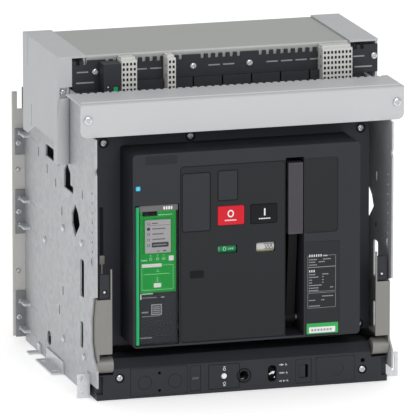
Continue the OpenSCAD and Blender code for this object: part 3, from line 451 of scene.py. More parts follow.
INK_DARK = PrintedInk("dark_ink", "#2A2A2E", 0.5)
INK_GREEN = PrintedInk("pale_green_ink", "#A9DDB4", 0.5)
LABEL_GREEN = PrintedInk("green_label", "#1DA24B", 0.42)
INK_RED = PrintedInk("red_ink", "#D8504F", 0.5)
INK_YELLOW = PrintedInk("yellow_ink", "#E8C53A", 0.5)


# ---- shapes ---------------------------------------------------------------------------------


def round_rect(low: Sequence[float], high: Sequence[float], radius: float, steps: int = 5) -> np.ndarray:
    """Outline of a rectangle with round corners, anticlockwise.

    Each corner is its centre plus the radius times (cos, sin) of a quarter turn.

    Args:
        low: lowest corner, (across, up).
        high: highest corner.
        radius: radius of the corners.
        steps: divisions of each quarter turn.

    Returns:
        The outline's points, one row each.
    """
    turn = np.radians(np.add.outer(np.arange(4) * 90.0, np.linspace(0, 90, steps + 1)))
    right, top, left, foot = high[0] - radius, high[1] - radius, low[0] + radius, low[1] + radius
    centre = np.array([[right, top], [left, top], [left, foot], [right, foot]])
    return (centre[:, None] + radius * np.stack([np.cos(turn), np.sin(turn)], -1)).reshape(-1, 2)


def ring_outline(centre: Sequence[float], across: float, up: float, sides: int = 36) -> np.ndarray:
    """Outline of an ellipse of half-sizes across and up: centre plus (across cos, up sin)."""
    turn = np.linspace(0, 2 * np.pi, sides, endpoint=False)
    return np.asarray(centre, float) + np.stack([across * np.cos(turn), up * np.sin(turn)], -1)


def inset(outline: np.ndarray, by: float) -> np.ndarray:
    """Outline moved inwards: each point goes along the sum of its two sides' inward normals.

    Args:
        outline: anticlockwise points.
        by: distance that each side moves.

    Returns:
        The moved outline.
    """
    side = np.roll(outline, -1, 0) - outline
    normal = np.stack([-side[:, 1], side[:, 0]], -1) / np.linalg.norm(side, axis=1, keepdims=True)
    before = np.roll(normal, 1, 0)
    mitre = (normal + before) / (1 + (normal * before).sum(1, keepdims=True))
    return outline + by * mitre


def placed(across: np.ndarray, up: np.ndarray, depth: np.ndarray, facing: Facing) -> np.ndarray:
    """Points in the object's frame from a piece's own three coordinates.

    Args:
        across: first coordinate of the outline.
        up: second coordinate of the outline.
        depth: coordinate along the piece's depth.
        facing: which axes these are.

    Returns:
        The points, with the last axis holding X, Y and Z.
    """
    parts = np.broadcast_arrays(across, up, depth)
    points = np.empty(parts[0].shape + (3,))
    for axis, values in zip(facing.value, parts):
        points[..., axis] = values
    return points


class Form:
    """Closed skins gathered into one mesh, in millimetres."""

    def __init__(self) -> None:
        """Starts with no points and no faces."""
        self.points: list[np.ndarray] = []
        self.faces: list[list[int]] = []
        self.total = 0

    def skin(self, rings: np.ndarray, loop: bool = False) -> "Form":
        """Joins each ring to the next with four-sided faces.

        Args:
            rings: an array of rings, each an array of points.
            loop: joins the last ring to the first; otherwise both ends are closed with a face.

        Returns:
            This form, so that calls can follow each other.
        """
        count, size = rings.shape[:2]
        index = self.total + np.arange(count * size).reshape(count, size)
        here = index if loop else index[:-1]
        ahead = np.roll(index, -1, 0) if loop else index[1:]
        quads = np.stack([here, np.roll(here, -1, 1), np.roll(ahead, -1, 1), ahead], -1).reshape(-1, 4)
        self.faces += quads.tolist()
        if not loop:
            self.faces += [index[0, ::-1].tolist(), index[-1].tolist()]
        self.points.append(rings.reshape(-1, 3))
        self.total += count * size
        return self

    def slab(
        self, outline: np.ndarray, near: float, far: float, facing: Facing = Facing.FRONT, edge: float = 0.0
    ) -> "Form":
        """Prism of an outline whose near face has a round edge.

        At an angle t of the edge the outline is inset by edge (1 - cos t), at edge (1 - sin t) from near.

        Args:
            outline: anticlockwise points.
            near: depth of the face that shows.
            far: depth of the other face.
            facing: axes of the outline and the depth.
            edge: radius of the edge round the near face.

        Returns:
            This form.
        """
        swing = np.radians(np.linspace(0, 90, 4)) if edge else np.array([np.pi / 2])
        inward = edge * (1 - np.cos(swing))
        depth = near + math.copysign(1, far - near) * edge * (1 - np.sin(swing))
        levels = [(0.0, far), *zip(inward, depth)]
        return self.skin(np.stack([placed(*inset(outline, i).T, d, facing) for i, d in levels]))

    def hoop(
        self, outer: np.ndarray, width: float, near: float, far: float, facing: Facing = Facing.FRONT
    ) -> "Form":
        """Flat ring between an outline and the same outline moved in by width."""
        inner = inset(outer, width)
        levels = [(outer, far), (outer, near), (inner, near), (inner, far)]
        return self.skin(np.stack([placed(*line.T, depth, facing) for line, depth in levels]), loop=True)

    def turned(
        self,
        profile: Sequence[Sequence[float]],
        centre: Sequence[float],
        facing: Facing = Facing.FRONT,
        sides: int = 32,
        relief: Optional[Callable[[np.ndarray, np.ndarray], np.ndarray]] = None,
    ) -> "Form":
        """Turned piece: each (radius, depth) of the profile is a circle about the centre.

        Args:
            profile: radius and depth of each circle, from one end to the other.
            centre: the axis's place across and up.
            facing: axes of the circles and the depth.
            sides: points in each circle.
            relief: gives an extra depth for offsets across and up from the axis.

        Returns:
            This form.
        """
        rows = np.asarray(profile, float)
        turn = np.linspace(0, 2 * np.pi, sides, endpoint=False)
        across, up = np.multiply.outer(rows[:, 0], np.cos(turn)), np.multiply.outer(rows[:, 0], np.sin(turn))
        depth = rows[:, 1:2] + (relief(across, up) if relief else 0)
        return self.skin(placed(centre[0] + across, centre[1] + up, depth, facing))

    def plate(
        self,
        low: Sequence[float],
        high: Sequence[float],
        radius: float,
        near: float,
        far: float,
        steps: int = 3,
        edge: float = 0.0,
    ) -> "Form":
        """Slab of a rectangle with round corners, each in steps, that faces the front."""
        return self.slab(round_rect(low, high, radius, steps), near, far, edge=edge)

    def row(self, count: int, pitch: float, bar: Sequence[float], near: float, far: float) -> "Form":
        """Row of equal bars, each a pitch to the right of the last."""
        return self.bars([(bar[0] + pitch * i, *bar[1:]) for i in range(count)], near, far)

    def bars(
        self, rects: Sequence[Sequence[float]], near: float, far: float, facing: Facing = Facing.FRONT
    ) -> "Form":
        """Plain bars, each given as (left, foot, width, height)."""
        for left, foot, width, height in rects:
            right, top = left + width, foot + height
            self.slab(np.array([[left, foot], [right, foot], [right, top], [left, top]]), near, far, facing)
        return self

    def drum_stroke(
        self, start: Sequence[float], end: Sequence[float], width: float, axis: Sequence[float], radius: float
    ) -> "Form":
        """Straight stroke printed on a drum that turns about X.

        Along the stroke a height s above the drum's front becomes an angle of s / radius, and each
        ring is the stroke's own narrow section.

        Args:
            start: X and height of the stroke's beginning.
            end: X and height of its end.
            width: its width along X.
            axis: Y and Z of the drum's axis.
            radius: the drum's radius.

        Returns:
            This form.
        """
        share = np.linspace(0, 1, 9)[:, None]
        middle = np.asarray(start, float) * (1 - share) + np.asarray(end, float) * share
        sides = np.array([-1, -1, 1, 1]) * width / 2
        out = radius + np.array([-0.3, PRINT, PRINT, -0.3])
        swing = middle[:, 1:] / radius
        across = middle[:, :1] + sides
        return self.skin(np.stack([across, axis[0] - out * np.cos(swing), axis[1] + out * np.sin(swing)], -1))

    def build(
        self,
        name: str,
        body: str,
        slot: str,
        finish: Finish,
        stands_for: Sequence[str] = (),
        sharp: float = 35.0,
    ) -> bpy.types.Object:
        """Writes the mesh in metres, turns its faces outwards, and makes it a piece on a body.

        Args:
            name: the piece's name.
            body: the CAD body that it rides on.
            slot: the record's material slot; not used.
            finish: its material.
            stands_for: CAD nodes that it replaces.
            sharp: angle in degrees above which an edge stays sharp.

        Returns:
            The piece.
        """
        mesh = bpy.data.meshes.new(name)
        mesh.from_pydata((np.concatenate(self.points) * MM).tolist(), [], self.faces)
        solid = bmesh.new()
        solid.from_mesh(mesh)
        bmesh.ops.remove_doubles(solid, verts=solid.verts, dist=1e-7)
        bmesh.ops.recalc_face_normals(solid, faces=solid.faces)
        solid.to_mesh(mesh)
        solid.free()
        mesh.shade_smooth()
        mesh.set_sharp_from_angle(angle=math.radians(sharp))
        mesh.materials.append(finish.material())
        return seated(linked(name, mesh), body, stands_for)


def linked(name: str, data: bpy.types.ID) -> bpy.types.Object:
    """New object of the scene that shows the data, at the origin."""
    made = bpy.data.objects.new(name, data)
    bpy.context.scene.collection.objects.link(made)
    return made


def seated(piece: bpy.types.Object, body: str, stands_for: Sequence[str] = ()) -> bpy.types.Object:
    """Makes an object a piece of the breaker: its body and the nodes it stands for."""
    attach(piece, body)
    if stands_for:
        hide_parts(*stands_for)
    LOG.info("%s rides on %s", piece.name, body)
    return piece


def box_mm(node: str) -> tuple[np.ndarray, np.ndarray]:
    """Lowest and highest corner of a CAD node, in millimetres."""
    low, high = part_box(node)
    return np.array(low) / MM, np.array(high) / MM


def front_middle(low: np.ndarray, high: np.ndarray) -> tuple[float, float]:
    """Middle of a box as the front shows it, (across, up)."""
    return (low[0] + high[0]) / 2, (low[2] + high[2]) / 2


def printed(face: float) -> tuple[float, float]:
    """Near and far depth of ink on a face."""
    return face - PRINT, face + SUNK


def solids_of(node: str) -> list[tuple[np.ndarray, np.ndarray]]:
    """Box of each separate solid of a CAD node.

    Points that share a place are one point, and each point takes the lowest label among the points
    that its edges reach, until nothing changes.

    Args:
        node: the CAD node.

    Returns:
        Lowest and highest corner of each solid in millimetres, in order of their labels.
    """
    mesh = frame["nodes"][node].data
    place = np.empty(len(mesh.vertices) * 3)
    mesh.vertices.foreach_get("co", place)
    ends = np.empty(len(mesh.edges) * 2, int)
    mesh.edges.foreach_get("vertices", ends)
    points, where = np.unique(np.round(place.reshape(-1, 3) / MM, 3), axis=0, return_inverse=True)
    start, end = where.reshape(-1)[ends.reshape(-1, 2)].T
    label = np.arange(len(points))
    while True:
        lowest = label.copy()
        np.minimum.at(lowest, start, label[end])
        np.minimum.at(lowest, end, label[start])
        lowest = lowest[lowest]
        if (lowest == label).all():
            break
        label = lowest
    return [(points[label == mark].min(0), points[label == mark].max(0)) for mark in np.unique(label)]


@dataclass(frozen=True)
class Tint:
    """A finish for the faces of a node whose middles lie in a box, in millimetres."""

    finish: Finish
    low: tuple[float, float, float]
    high: tuple[float, float, float]


@dataclass(frozen=True)
class Bend:
    """A larger edge radius for the sharp edges whose middles lie in a box, in millimetres."""

    radius: float
    low: tuple[float, float, float]
    high: tuple[float, float, float]


@dataclass
class Softened:
    """A CAD node's own shape with its edges broken, as pressing and moulding leave them."""

    node: str
    slot: str
    finish: Finish
    edge: float = 0.35
    tints: Sequence[Tint] = ()
    bends: Sequence[Bend] = ()
    sharp_deg: float = 30.0
    clamp: bool = False
    merge_m: float = 2e-6
    sliver_m: float = 1e-5
    flat_deg: float = 0.5
    share_of_side: float = 0.45

    def build(self) -> bpy.types.Object:
        """Merges a copy of the node's mesh, weighs its sharp edges and adds a bevel.

        Returns:
            The piece, which stands for the node.
        """
        source = frame["nodes"][self.node]
        mesh = source.data.copy()
        mesh.materials.clear()
        for finish in (self.finish, *(tint.finish for tint in self.tints)):
            mesh.materials.append(finish.material())
        solid = bmesh.new()
        solid.from_mesh(mesh)
        bmesh.ops.remove_doubles(solid, verts=solid.verts, dist=self.merge_m)
        bmesh.ops.dissolve_degenerate(solid, dist=self.sliver_m, edges=solid.edges)
        bmesh.ops.dissolve_limit(
            solid, angle_limit=math.radians(self.flat_deg), verts=solid.verts, edges=solid.edges
        )
        widest = max([self.edge, *(bend.radius for bend in self.bends)])
        weight = solid.edges.layers.float.new("bevel_weight_edge")
        for line in solid.edges:
            line[weight] = self.radius_of(line) / widest
        for face in solid.faces:
            face.material_index = self.tint_of(face.calc_center_median())
            face.smooth = True
        solid.to_mesh(mesh)
        solid.free()
        piece = linked(f"{self.node}_finished", mesh)
        bevel = piece.modifiers.new("broken_edges", "BEVEL")
        bevel.width, bevel.segments, bevel.limit_method = widest * MM, 2, "WEIGHT"
        bevel.use_clamp_overlap, bevel.loop_slide = self.clamp, False
        bevel.miter_outer = "MITER_ARC"
        piece.modifiers.new("even_shading", "WEIGHTED_NORMAL").keep_sharp = True
        return seated(piece, source["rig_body"], (self.node,))

    def radius_of(self, line: bmesh.types.BMEdge) -> float:
        """Radius wanted on an edge: none where it is nearly flat, a bend's where one covers it.

        It stays under half of the shortest edge that meets this one, so that no round runs past
        its own face.
        """
        if len(line.link_faces) != 2 or line.calc_face_angle(0.0) < math.radians(self.sharp_deg):
            return 0.0
        middle = (line.verts[0].co + line.verts[1].co) / 2
        wanted = [bend.radius for bend in self.bends if within(middle, bend.low, bend.high)]
        meeting = [other.calc_length() for end in line.verts for other in end.link_edges if other != line]
        return min(wanted[0] if wanted else self.edge, self.share_of_side * min(meeting) / MM)

    def tint_of(self, middle: Sequence[float]) -> int:
        """Number of the material for a face whose middle is given."""
        found = [i + 1 for i, tint in enumerate(self.tints) if within(middle, tint.low, tint.high)]
        return found[0] if found else 0


def within(point: Sequence[float], low: Sequence[float], high: Sequence[float]) -> bool:
    """Whether a point in metres lies in a box in millimetres."""
    return all(a - 0.01 <= p / MM <= b + 0.01 for p, a, b in zip(point, low, high))


def paint_node(node: str, finish: Finish) -> None:
    """Gives a CAD node that stays as it is the finish of its real material."""
    slots = frame["nodes"][node].material_slots
    for slot in slots:
        slot.material = finish.material()


def soften_all(rows: Sequence[tuple[str, str, Finish, float]]) -> None:
    """Builds the softened copy of each node from its row of node, slot, finish and edge radius."""
    for node, slot, finish, edge in rows:
        Softened(node, slot, finish, edge).build()


# ---- fasteners ------------------------------------------------------------------------------


@dataclass
class PanScrews:
    """Cross-recessed pan-head screws in the places of a CAD node's screws, heads towards the front."""

    node: str
    body: str
    head_h: float = 3.0
    dome: float = 1.1
    recess: float = 1.5
    arm_half: float = 0.62
    shank_r: float = 2.0
    step_deg: float = 34.0

    def build(self) -> bpy.types.Object:
        """Builds every head and shank as one piece that stands for the node.

        The head falls away from its middle as dome (r / R)^2.4, and the recess is as deep as the
        larger of two smooth bars that cross at its middle.

        Returns:
            The piece.
        """
        form = Form()
        for count, (low, high) in enumerate(solids_of(self.node)):
            radius = (high[0] - low[0]) / 2
            front, back = low[1], low[1] + self.head_h
            inner = np.linspace(0.04, 0.92, 13) * radius
            fall = front + self.dome * (inner / radius) ** 2.4
            profile = [
                *zip(inner, fall),
                (radius * 0.98, front + self.dome + 0.35),
                (radius, front + self.dome + 0.9),
            ]
            profile += [(radius, back), (self.shank_r, back), (self.shank_r, high[1])]
            turn = math.radians(20 + count * self.step_deg)
            recess = partial(self.cross, radius=radius, turn=turn)
            form.turned(profile, front_middle(low, high), sides=48, relief=recess)
        return form.build(f"{self.node}_heads", self.body, "zinc_screw", SCREW_ZINC, (self.node,), sharp=50)

    def cross(self, across: np.ndarray, up: np.ndarray, radius: float, turn: float) -> np.ndarray:
        """Depth of the cross recess: each arm's share falls smoothly past its width and its length."""
        along = across * math.cos(turn) + up * math.sin(turn)
        over = -across * math.sin(turn) + up * math.cos(turn)
        width, length = self.arm_half, radius * 0.6
        arms = [
            np.clip(1.6 - np.abs(b) / width, 0, 1) * np.clip((length - np.abs(a)) / (0.25 * radius), 0, 1)
            for a, b in ((along, over), (over, along))
        ]
        return self.recess * np.maximum(*arms)


@dataclass
class DomedRivets:
    """Closed rivets through the side plates: a domed head outside and a flat shank."""

    node: str = "cradle_rivets"
    body: str = "cradle"
    shank_r: float = 3.0
    rim_h: float = 0.8
    crown_h: float = 2.2

    def build(self) -> bpy.types.Object:
        """Turns each rivet about X, its head's rim on the plate and its crown at the node's limit."""
        form = Form()
        for low, high in solids_of(self.node):
            out = 1 if high[0] > 0 else -1
            crown, foot = (high[0], low[0]) if out > 0 else (low[0], high[0])
            head = (high[1] - low[1]) / 2
            face = crown - out * (self.rim_h + self.crown_h)
            swing = np.radians(np.linspace(88, 0, 8))
            profile = [
                (head * math.cos(t), face + out * (self.rim_h + self.crown_h * math.sin(t))) for t in swing
            ]
            profile += [(head, face), (self.shank_r, face), (self.shank_r, foot)]
            form.turned(profile, ((low[1] + high[1]) / 2, (low[2] + high[2]) / 2), Facing.SIDE, 28)
        return form.build(f"{self.node}_domed", self.body, "zinc_screw", SCREW_ZINC, (self.node,))


# ---- the cradle -----------------------------------------------------------------------------


@dataclass
class Cradle:
    """Fixed part: sheet steel, caps, terminal rack, terminal blocks and power terminals."""

    plate_face: float = 203.3
    rib_r: float = 0.8
    rib_reach: float = 62.0
    rib_z: tuple[float, ...] = (18, 55, 161, 198, 288)
    bead_in: float = 11.0
    pin_z: tuple[float, ...] = (98, 238)
    entry_pitch: float = 5.0
    entry_rows: int = 6

    def build(self) -> None:
        """Sheet metal and mouldings first, then what is fixed on them."""
        soften_all(
            [
                ("bottom_tray", "galvanised_steel", GALVANISED, 0.3),
                ("mounting_feet", "galvanised_steel", BRIGHT_ZINC_AND_HIGHLIGHT, 0.3),
                ("rear_base", "thermoset", THERMOSET, 0.5),
                ("rear_flanges", "zinc_steel", FLANGE_ZINC, 0.3),
                ("terminal_rack", "black_moulding", BLACK_NYLON, 0.3),
                ("control_sockets", "black_moulding", BLACK_NYLON, 0.3),
                ("line_terminals", "copper", COPPER, 0.5),
                ("load_terminals", "copper", COPPER, 0.5),
                ("shutter_upper", "shutter_laminate", SHUTTER_BOARD, 0.3),
                ("shutter_lower", "shutter_laminate", SHUTTER_BOARD, 0.3),
                ("rail_guides", "zinc_steel", RAIL_ZINC, 0.3),
            ]
        )
        self.side_plates()
        self.crossbar()
        self.top()
        self.plate_ribs()
        self.flange_pins()
        self.wire_entries()
        self.switch_block()
        self.rack_strips()
        paint_node("terminal_blocks", TERMINAL_GREY)
        PanScrews("cradle_screws", "cradle").build()
        DomedRivets().build()

    def side_plates(self) -> None:
        """Galvanised plates with copies of their finish as painted light: a less metallic one that reads
        lighter inside, a darker one on the fixing tabs as painted shade, and a brighter one on the rounded
        gussets as painted highlight.
        """
        for node, side in (("side_plate_left", -1), ("side_plate_right", 1)):
            low, high = box_mm(node)
            reach = sorted((side * self.plate_face, side * (self.plate_face + 14)))
            inner = sorted((side * (self.plate_face - 2.6), side * (self.plate_face - 2.3)))
            gusset = sorted((side * (self.plate_face + 0.2), side * (self.plate_face + 9.2)))
            foot, top, rear = low[2] - 1, high[2] + 1, high[1] + 1
            # painted light on the inner faces, painted shade on the tabs and painted highlights on the gussets,
            # each a copy of the same galvanised sheet
            tints, bends = [Tint(GALVANISED_INNER_PAINTED_LIGHT, (inner[0], low[1] - 1, foot), (inner[1], rear - 2, top))], []
            for z in self.rib_z:
                # painted highlight: each gusset takes a brighter copy of the galvanised sheet
                corner = (gusset[0], high[1] - 27, z - 2.6)
                tints.append(Tint(BRIGHT_ZINC_AND_HIGHLIGHT, corner, (gusset[1], rear, z + 2.6)))
                bends.append(Bend(1.4, corner, (gusset[1] + 0.5, rear, z + 2.6)))
            # painted shade: the folded fixing tabs at the rear take a darker copy of the plate's finish
            tints.append(Tint(TAB_ZINC_PAINTED_SHADE, (reach[0], high[1] - 3, foot), (reach[1], rear, top)))
            Softened(node, "galvanised_steel", GALVANISED, 0.3, tints, bends).build()

    def crossbar(self) -> None:
        """Pressed bar with a wide bend along its front, and a bead along its top flange in a lighter coat that
        is a painted highlight.
        """
        low, high = box_mm("crossbar")
        front_top = Bend(
            3.2, (low[0] + 1, low[1] - 1, high[2] - 0.5), (high[0] - 1, low[1] + 0.5, high[2] + 1)
        )
        ends = Bend(1.0, low - 1, (high[0] + 1, low[1] + 0.5, high[2] - 1))
        Softened("crossbar", "grey_paint", GREY_COAT, 0.4, bends=(front_top, ends)).build()
        # painted highlight: the bead takes the lighter copy of the crossbar's coat
        bead = ring_outline((low[1] + self.bead_in, high[2] - 0.3), 1.8, 1.3, 20)
        form = Form().slab(bead, low[0] + 3, high[0] - 3, Facing.SIDE)
        form.build("crossbar_bead", "cradle", "grey_paint", BEAD_COAT_HIGHLIGHT)

    def top(self) -> None:
        """Moulded caps with rounded edges, and the coated panel between them with its front lip in a lighter
        coat that is a painted highlight.
        """
        for node in ("cap_left", "cap_right"):
            low, high = box_mm(node)
            roof = Bend(1.6, (low[0] - 1, low[1] - 1, high[2] - 1), high + 1)
            corner = Bend(1.6, low - 1, (high[0] + 1, low[1] + 1, high[2] + 1))
            Softened(node, "grey_moulding", CAP_GREY, 0.5, bends=(roof, corner), clamp=True).build()
        low, high = box_mm("top_panel")
        lip = Bend(2.2, (low[0] - 1, low[1] - 1, high[2] - 1), (high[0] + 1, low[1] + 1, high[2] + 1))
        Softened("top_panel", "panel_paint", PANEL_COAT, 0.4, bends=(lip,)).build()
        # painted highlight: the lip's roll takes the lighter crossbar coat instead of the panel's own
        roll = ring_outline((low[1] + 3.2, high[2] - 0.6), 2.6, 1.7, 24)
        form = Form().slab(roll, low[0] + 1, high[0] - 1, Facing.SIDE)
        form.build("top_panel_lip", "cradle", "panel_paint", GREY_COAT)

    def plate_ribs(self) -> None:
        """Stiffening ribs pressed outwards from the side plates' rear corner."""
        for node, side in (("side_plate_left", -1), ("side_plate_right", 1)):
            low, high = box_mm(node)
            face = side * self.plate_face
            form = Form()
            for z in self.rib_z:
                section = ring_outline((face - side * 0.4, z), self.rib_r, self.rib_r, 16)
                form.slab(section, high[1] - 20, high[1] - self.rib_reach)
            form.build(f"{node}_ribs", "cradle", "galvanised_steel", GALVANISED)

    def flange_pins(self) -> None:
        """Short locating pins between the fixing tabs of each rear flange."""
        low, high = box_mm("rear_flanges")
        form = Form()
        for x in (low[0] + 8, high[0] - 8):
            for z in self.pin_z:
                profile = [
                    (0.1, low[1] - 2.6),
                    (2.2, low[1] - 2.2),
                    (2.9, low[1] - 1.2),
                    (3.2, low[1]),
                    (3.2, low[1] + 2),
                ]
                form.turned(profile, (x, z), sides=24)
        form.build("rear_flange_pins", "cradle", "zinc_steel", SCREW_ZINC)

    def wire_entries(self) -> None:
        """Dark throats of the push-in terminals and the blocks' side slots, both painted shade, with marker
        dots and clear tabs.
        """
        throats, tabs, slots = Form(), Form(), Form()
        dots = {"red": Form(), "green": Form()}
        for low, high in solids_of("terminal_blocks"):
            columns = round((high[0] - low[0] - 1) / self.entry_pitch)
            step = (high[2] - low[2] - 6) / self.entry_rows
            for column in range(columns):
                left = low[0] + column * self.entry_pitch + 1.5
                for row in range(self.entry_rows):
                    foot = low[2] + row * step + 3
                    hole = round_rect(
                        (left + HAIR, foot + HAIR), (left + 3 - HAIR, foot + step - 3 - HAIR), 0.4, 2
                    )
                    # painted shade: a black slab in each pocket stands for the shade in the hole
                    throats.slab(hole, low[1] + 0.8, low[1] + 4 - HAIR)
                tabs.plate(
                    (left - 0.6, high[2] - 0.2),
                    (left + 3.4, high[2] + 2.4),
                    0.5,
                    low[1] + 9,
                    low[1] + 11,
                    steps=2,
                )
            for z in (0.42, 0.7):
                middle = (low[1] + 9, low[2] + z * (high[2] - low[2]))
                # painted shade: dark ellipses on the block's side stand for the shade in its slots
                slots.slab(ring_outline(middle, 1.3, 1.9, 14), low[0] - PRINT, low[0] + 1, Facing.SIDE)
            for colour, row in (("red", 1), ("green", 0)):
                place = (low[0] + 0.8, low[2] + row * step + 5)
                dots[colour].slab(ring_outline(place, 0.6, 0.6, 10), low[1] - PRINT, low[1] + 0.5)
        throats.build("terminal_entry_shade", "cradle", "black_moulding", SHADOW_BLACK)
        slots.build("terminal_side_slot_shade", "cradle", "black_moulding", SHADOW_BLACK)
        tabs.build("terminal_marker_tabs", "cradle", "clear_cover", CLEAR)
        dots["red"].build("terminal_red_dots", "cradle", "red_plastic", INK_RED)
        dots["green"].build("terminal_green_dots", "cradle", "green_strip", LABEL_GREEN)

    def rack_strips(self) -> None:
        """Pale marker strips that lie in the rack's slots, and a second row at its two ends."""
        low, high = box_mm("terminal_rack")
        screws = [(a[0] + b[0]) / 2 for a, b in solids_of("cradle_screws") if a[2] > low[2]]
        form = Form()
        for x in np.arange(low[0] + 14, high[0] - 20, 20):
            if min(abs(x - screw) for screw in screws) > 12:
                form.bars([(x - 7.9, high[2] - 16.4, 15.8, 1.8)], high[1] - 2.4, high[1] - 0.6)
        for x in (low[0] + 5, high[0] - 32):
            form.bars([(x, high[2] - 30.5, 24, 1.8)], high[1] - 3 - PRINT, high[1] - 2)
        form.build("rack_marker_strips", "cradle", "black_moulding", INK_GREY)

    def switch_block(self) -> None:
        """Black switch block with its green plug in a tint of its own, and two pale contact dots."""
        low, high = box_mm("position_switch_block")
        plug = Tint(
            HINGE_GREEN, (low[0] + 13.4, low[1] - 1, low[2] - 1), (low[0] + 19.6, low[1] + 9, low[2] + 11.6)
        )
        Softened("position_switch_block", "black_moulding", BLACK_NYLON, 0.3, tints=(plug,)).build()
        form = Form()
        for z in (4.5, 10.5):
            form.slab(ring_outline((low[0] + 6.5, low[2] + 1 + z), 1.1, 1.1, 12), low[1] + 1.2, low[1] + 2.2)
        form.build("switch_block_contacts", "cradle", "white_plastic", WHITE_ABS)


# ---- the racking base -----------------------------------------------------------------------


@dataclass
class RackingBase:
    """Front base of the cradle: lock plate, padlock tab, release, crank hole, pointer and crank."""

    sign_pitch: float = 11.0
    seat_r: float = 6.4
    seat_w: float = 1.3
    entry_r: float = 10.2
    entry_w: float = 2.2

    def build(self) -> None:
        """Mouldings, then the button, then the printed signs."""
        soften_all(
            [
                ("racking_base", "base_moulding", BASE_BLACK, 0.5),
                ("keylock_plate", "base_moulding", BASE_BLACK, 0.4),
                ("base_blank_plate", "base_moulding", BASE_BLACK, 0.4),
                ("padlock_tab", "base_moulding", BASE_BLACK, 0.4),
                ("crank_handle", "charcoal_moulding", BASE_BLACK, 0.4),
                ("racking_carriage", "zinc_steel", RAIL_ZINC, 0.3),
            ]
        )
        low, high = box_mm("racking_screw")
        # painted shade: the screw's front in the crank hole is black where the hole is in shade
        socket = Tint(SHADOW_BLACK, low - 1, (high[0] + 1, low[1] + 20, high[2] + 1))
        Softened("racking_screw", "steel", TOOL_STEEL, 0.3, tints=(socket,)).build()
        self.release()
        self.pointer()
        self.crank_grip()
        self.signs()

    def release(self) -> None:
        """White push button with a crowned face and a collar behind the base's wall."""
        low, high = box_mm("release_button")
        middle = front_middle(low, high)
        collar, cap, front, back = (high[0] - low[0]) / 2, (high[0] - low[0]) / 2 - 2, low[1], high[1]
        profile = [(0.1, front), (cap * 0.55, front + 0.15), (cap * 0.85, front + 0.5), (cap, front + 1.3)]
        profile += [(cap, back - 2), (collar, back - 2), (collar, back)]
        Form().turned(profile, middle, sides=40).build(
            "release_button_crowned", "release_button", "white_plastic", WHITE_ABS, ("release_button",)
        )

    def pointer(self) -> None:
        """White arrow on a black disc, with a dark ring plate behind its window as painted shade."""
        base = box_mm("racking_base")[0]
        low, high = box_mm("position_pointer")
        disc = Tint(SHADOW_BLACK, (low[0] - 1, low[1] + 1.6, low[2] - 1), high + 1)
        Softened("position_pointer", "white_plastic", WHITE_ABS, 0.2, tints=(disc,)).build()
        middle = front_middle(low, high)
        # painted shade: a dark ring plate behind the pointer's window hides the bright parts beyond
        backing = Form().hoop(ring_outline(middle, 8, 13, 40), 6, base[1] + 12.6, base[1] + 13.6)
        backing.build("pointer_window_shade", "cradle", "base_moulding", SHADOW_BLACK)

    def crank_grip(self) -> None:
        """Sunk grip plate in the stowed crank's pocket, which leaves a finger slot at its right."""
        low, high = box_mm("crank_handle")
        left, foot, top = low[0] + 4.2, low[2] + 7.2, high[2] - 7.2
        form = Form().plate(
            (left, foot), (high[0] - 7.6, top), 1.2, low[1] + 0.8, low[1] + 20, steps=4, edge=0.5
        )
        form.build("crank_grip_plate", "crank_handle", "charcoal_moulding", BASE_BLACK)

    def signs(self) -> None:
        """Generic printed signs: breaker positions, the release's steps and the panel's outlines, with dark
        rings of painted shade round the base's screws and the crank hole.
        """
        low, _ = box_mm("racking_base")
        face = low[1]
        button, needle, screw = (
            sum(box_mm(node)) / 2 for node in ("release_button", "position_pointer", "racking_screw")
        )
        tab_low, tab_high = box_mm("padlock_tab")
        white, dark, dim = Form(), Form(), Form()
        for way in (-1, 1):
            z = button[2] + way * 9.5
            white.hoop(ring_outline((button[0], z), 2.0, 2.0, 20), 0.6, *printed(face))
            white.bars([(button[0] - 1.6, z + way * 3.2 - 0.35, 3.2, 0.8)], *printed(face))
        for step, gap in enumerate((0.4, 1.4, 2.4)):
            z = needle[2] + (1 - step) * self.sign_pitch
            x = needle[0] + 12
            white.bars(
                [
                    (x - 2.6, z - 0.35, 2.6, 0.7),
                    (x, z - 1.2, 0.7, 2.4),
                    (x + 0.7 + gap, z - 1.2, 0.7, 2.4),
                    (x + 1.4 + gap, z - 0.35, 2.2, 0.7),
                    (x + 5.4 + gap, z - 0.9, 2.6, 0.6),
                    (x + 5.4 + gap, z + 0.4, 1.8, 0.6),
                ],
                *printed(face),
            )
        outline = round_rect((button[0] - 22, button[2] - 17), (button[0] + 21, button[2] + 17), 1.0, 3)
        dark.hoop(outline, 0.9, *printed(face))
        # painted shade: dark rings in the sunk seats of the base's screws
        for first, last in solids_of("cradle_screws"):
            if first[1] < low[1] + 6 and last[2] < 60:
                seat = ring_outline(front_middle(first, last), self.seat_r, self.seat_r, 32)
                dark.hoop(seat, self.seat_w, *printed(face))
        # painted shade: a dark ring round the crank hole's entry
        entry = ring_outline((screw[0], screw[2]), self.entry_r, self.entry_r, 40)
        dark.hoop(entry, self.entry_w, *printed(face))
        middle = (tab_low[0] + tab_high[0]) / 2
        dim.bars(
            [(middle - 4 + 2.2 * i, 20.0 + 0.5 * (i % 2), 1.5, 2.6) for i in range(4)],
            *printed(tab_low[1]),
        )
        white.build("base_printed_signs", "cradle", "white_plastic", INK_WHITE)
        dark.build("base_outlines_and_seat_shade", "cradle", "base_moulding", SHADOW_BLACK)
        dim.build("padlock_tab_mark", "padlock_tab", "base_moulding", INK_DIM)


# ---- the breaker's front --------------------------------------------------------------------


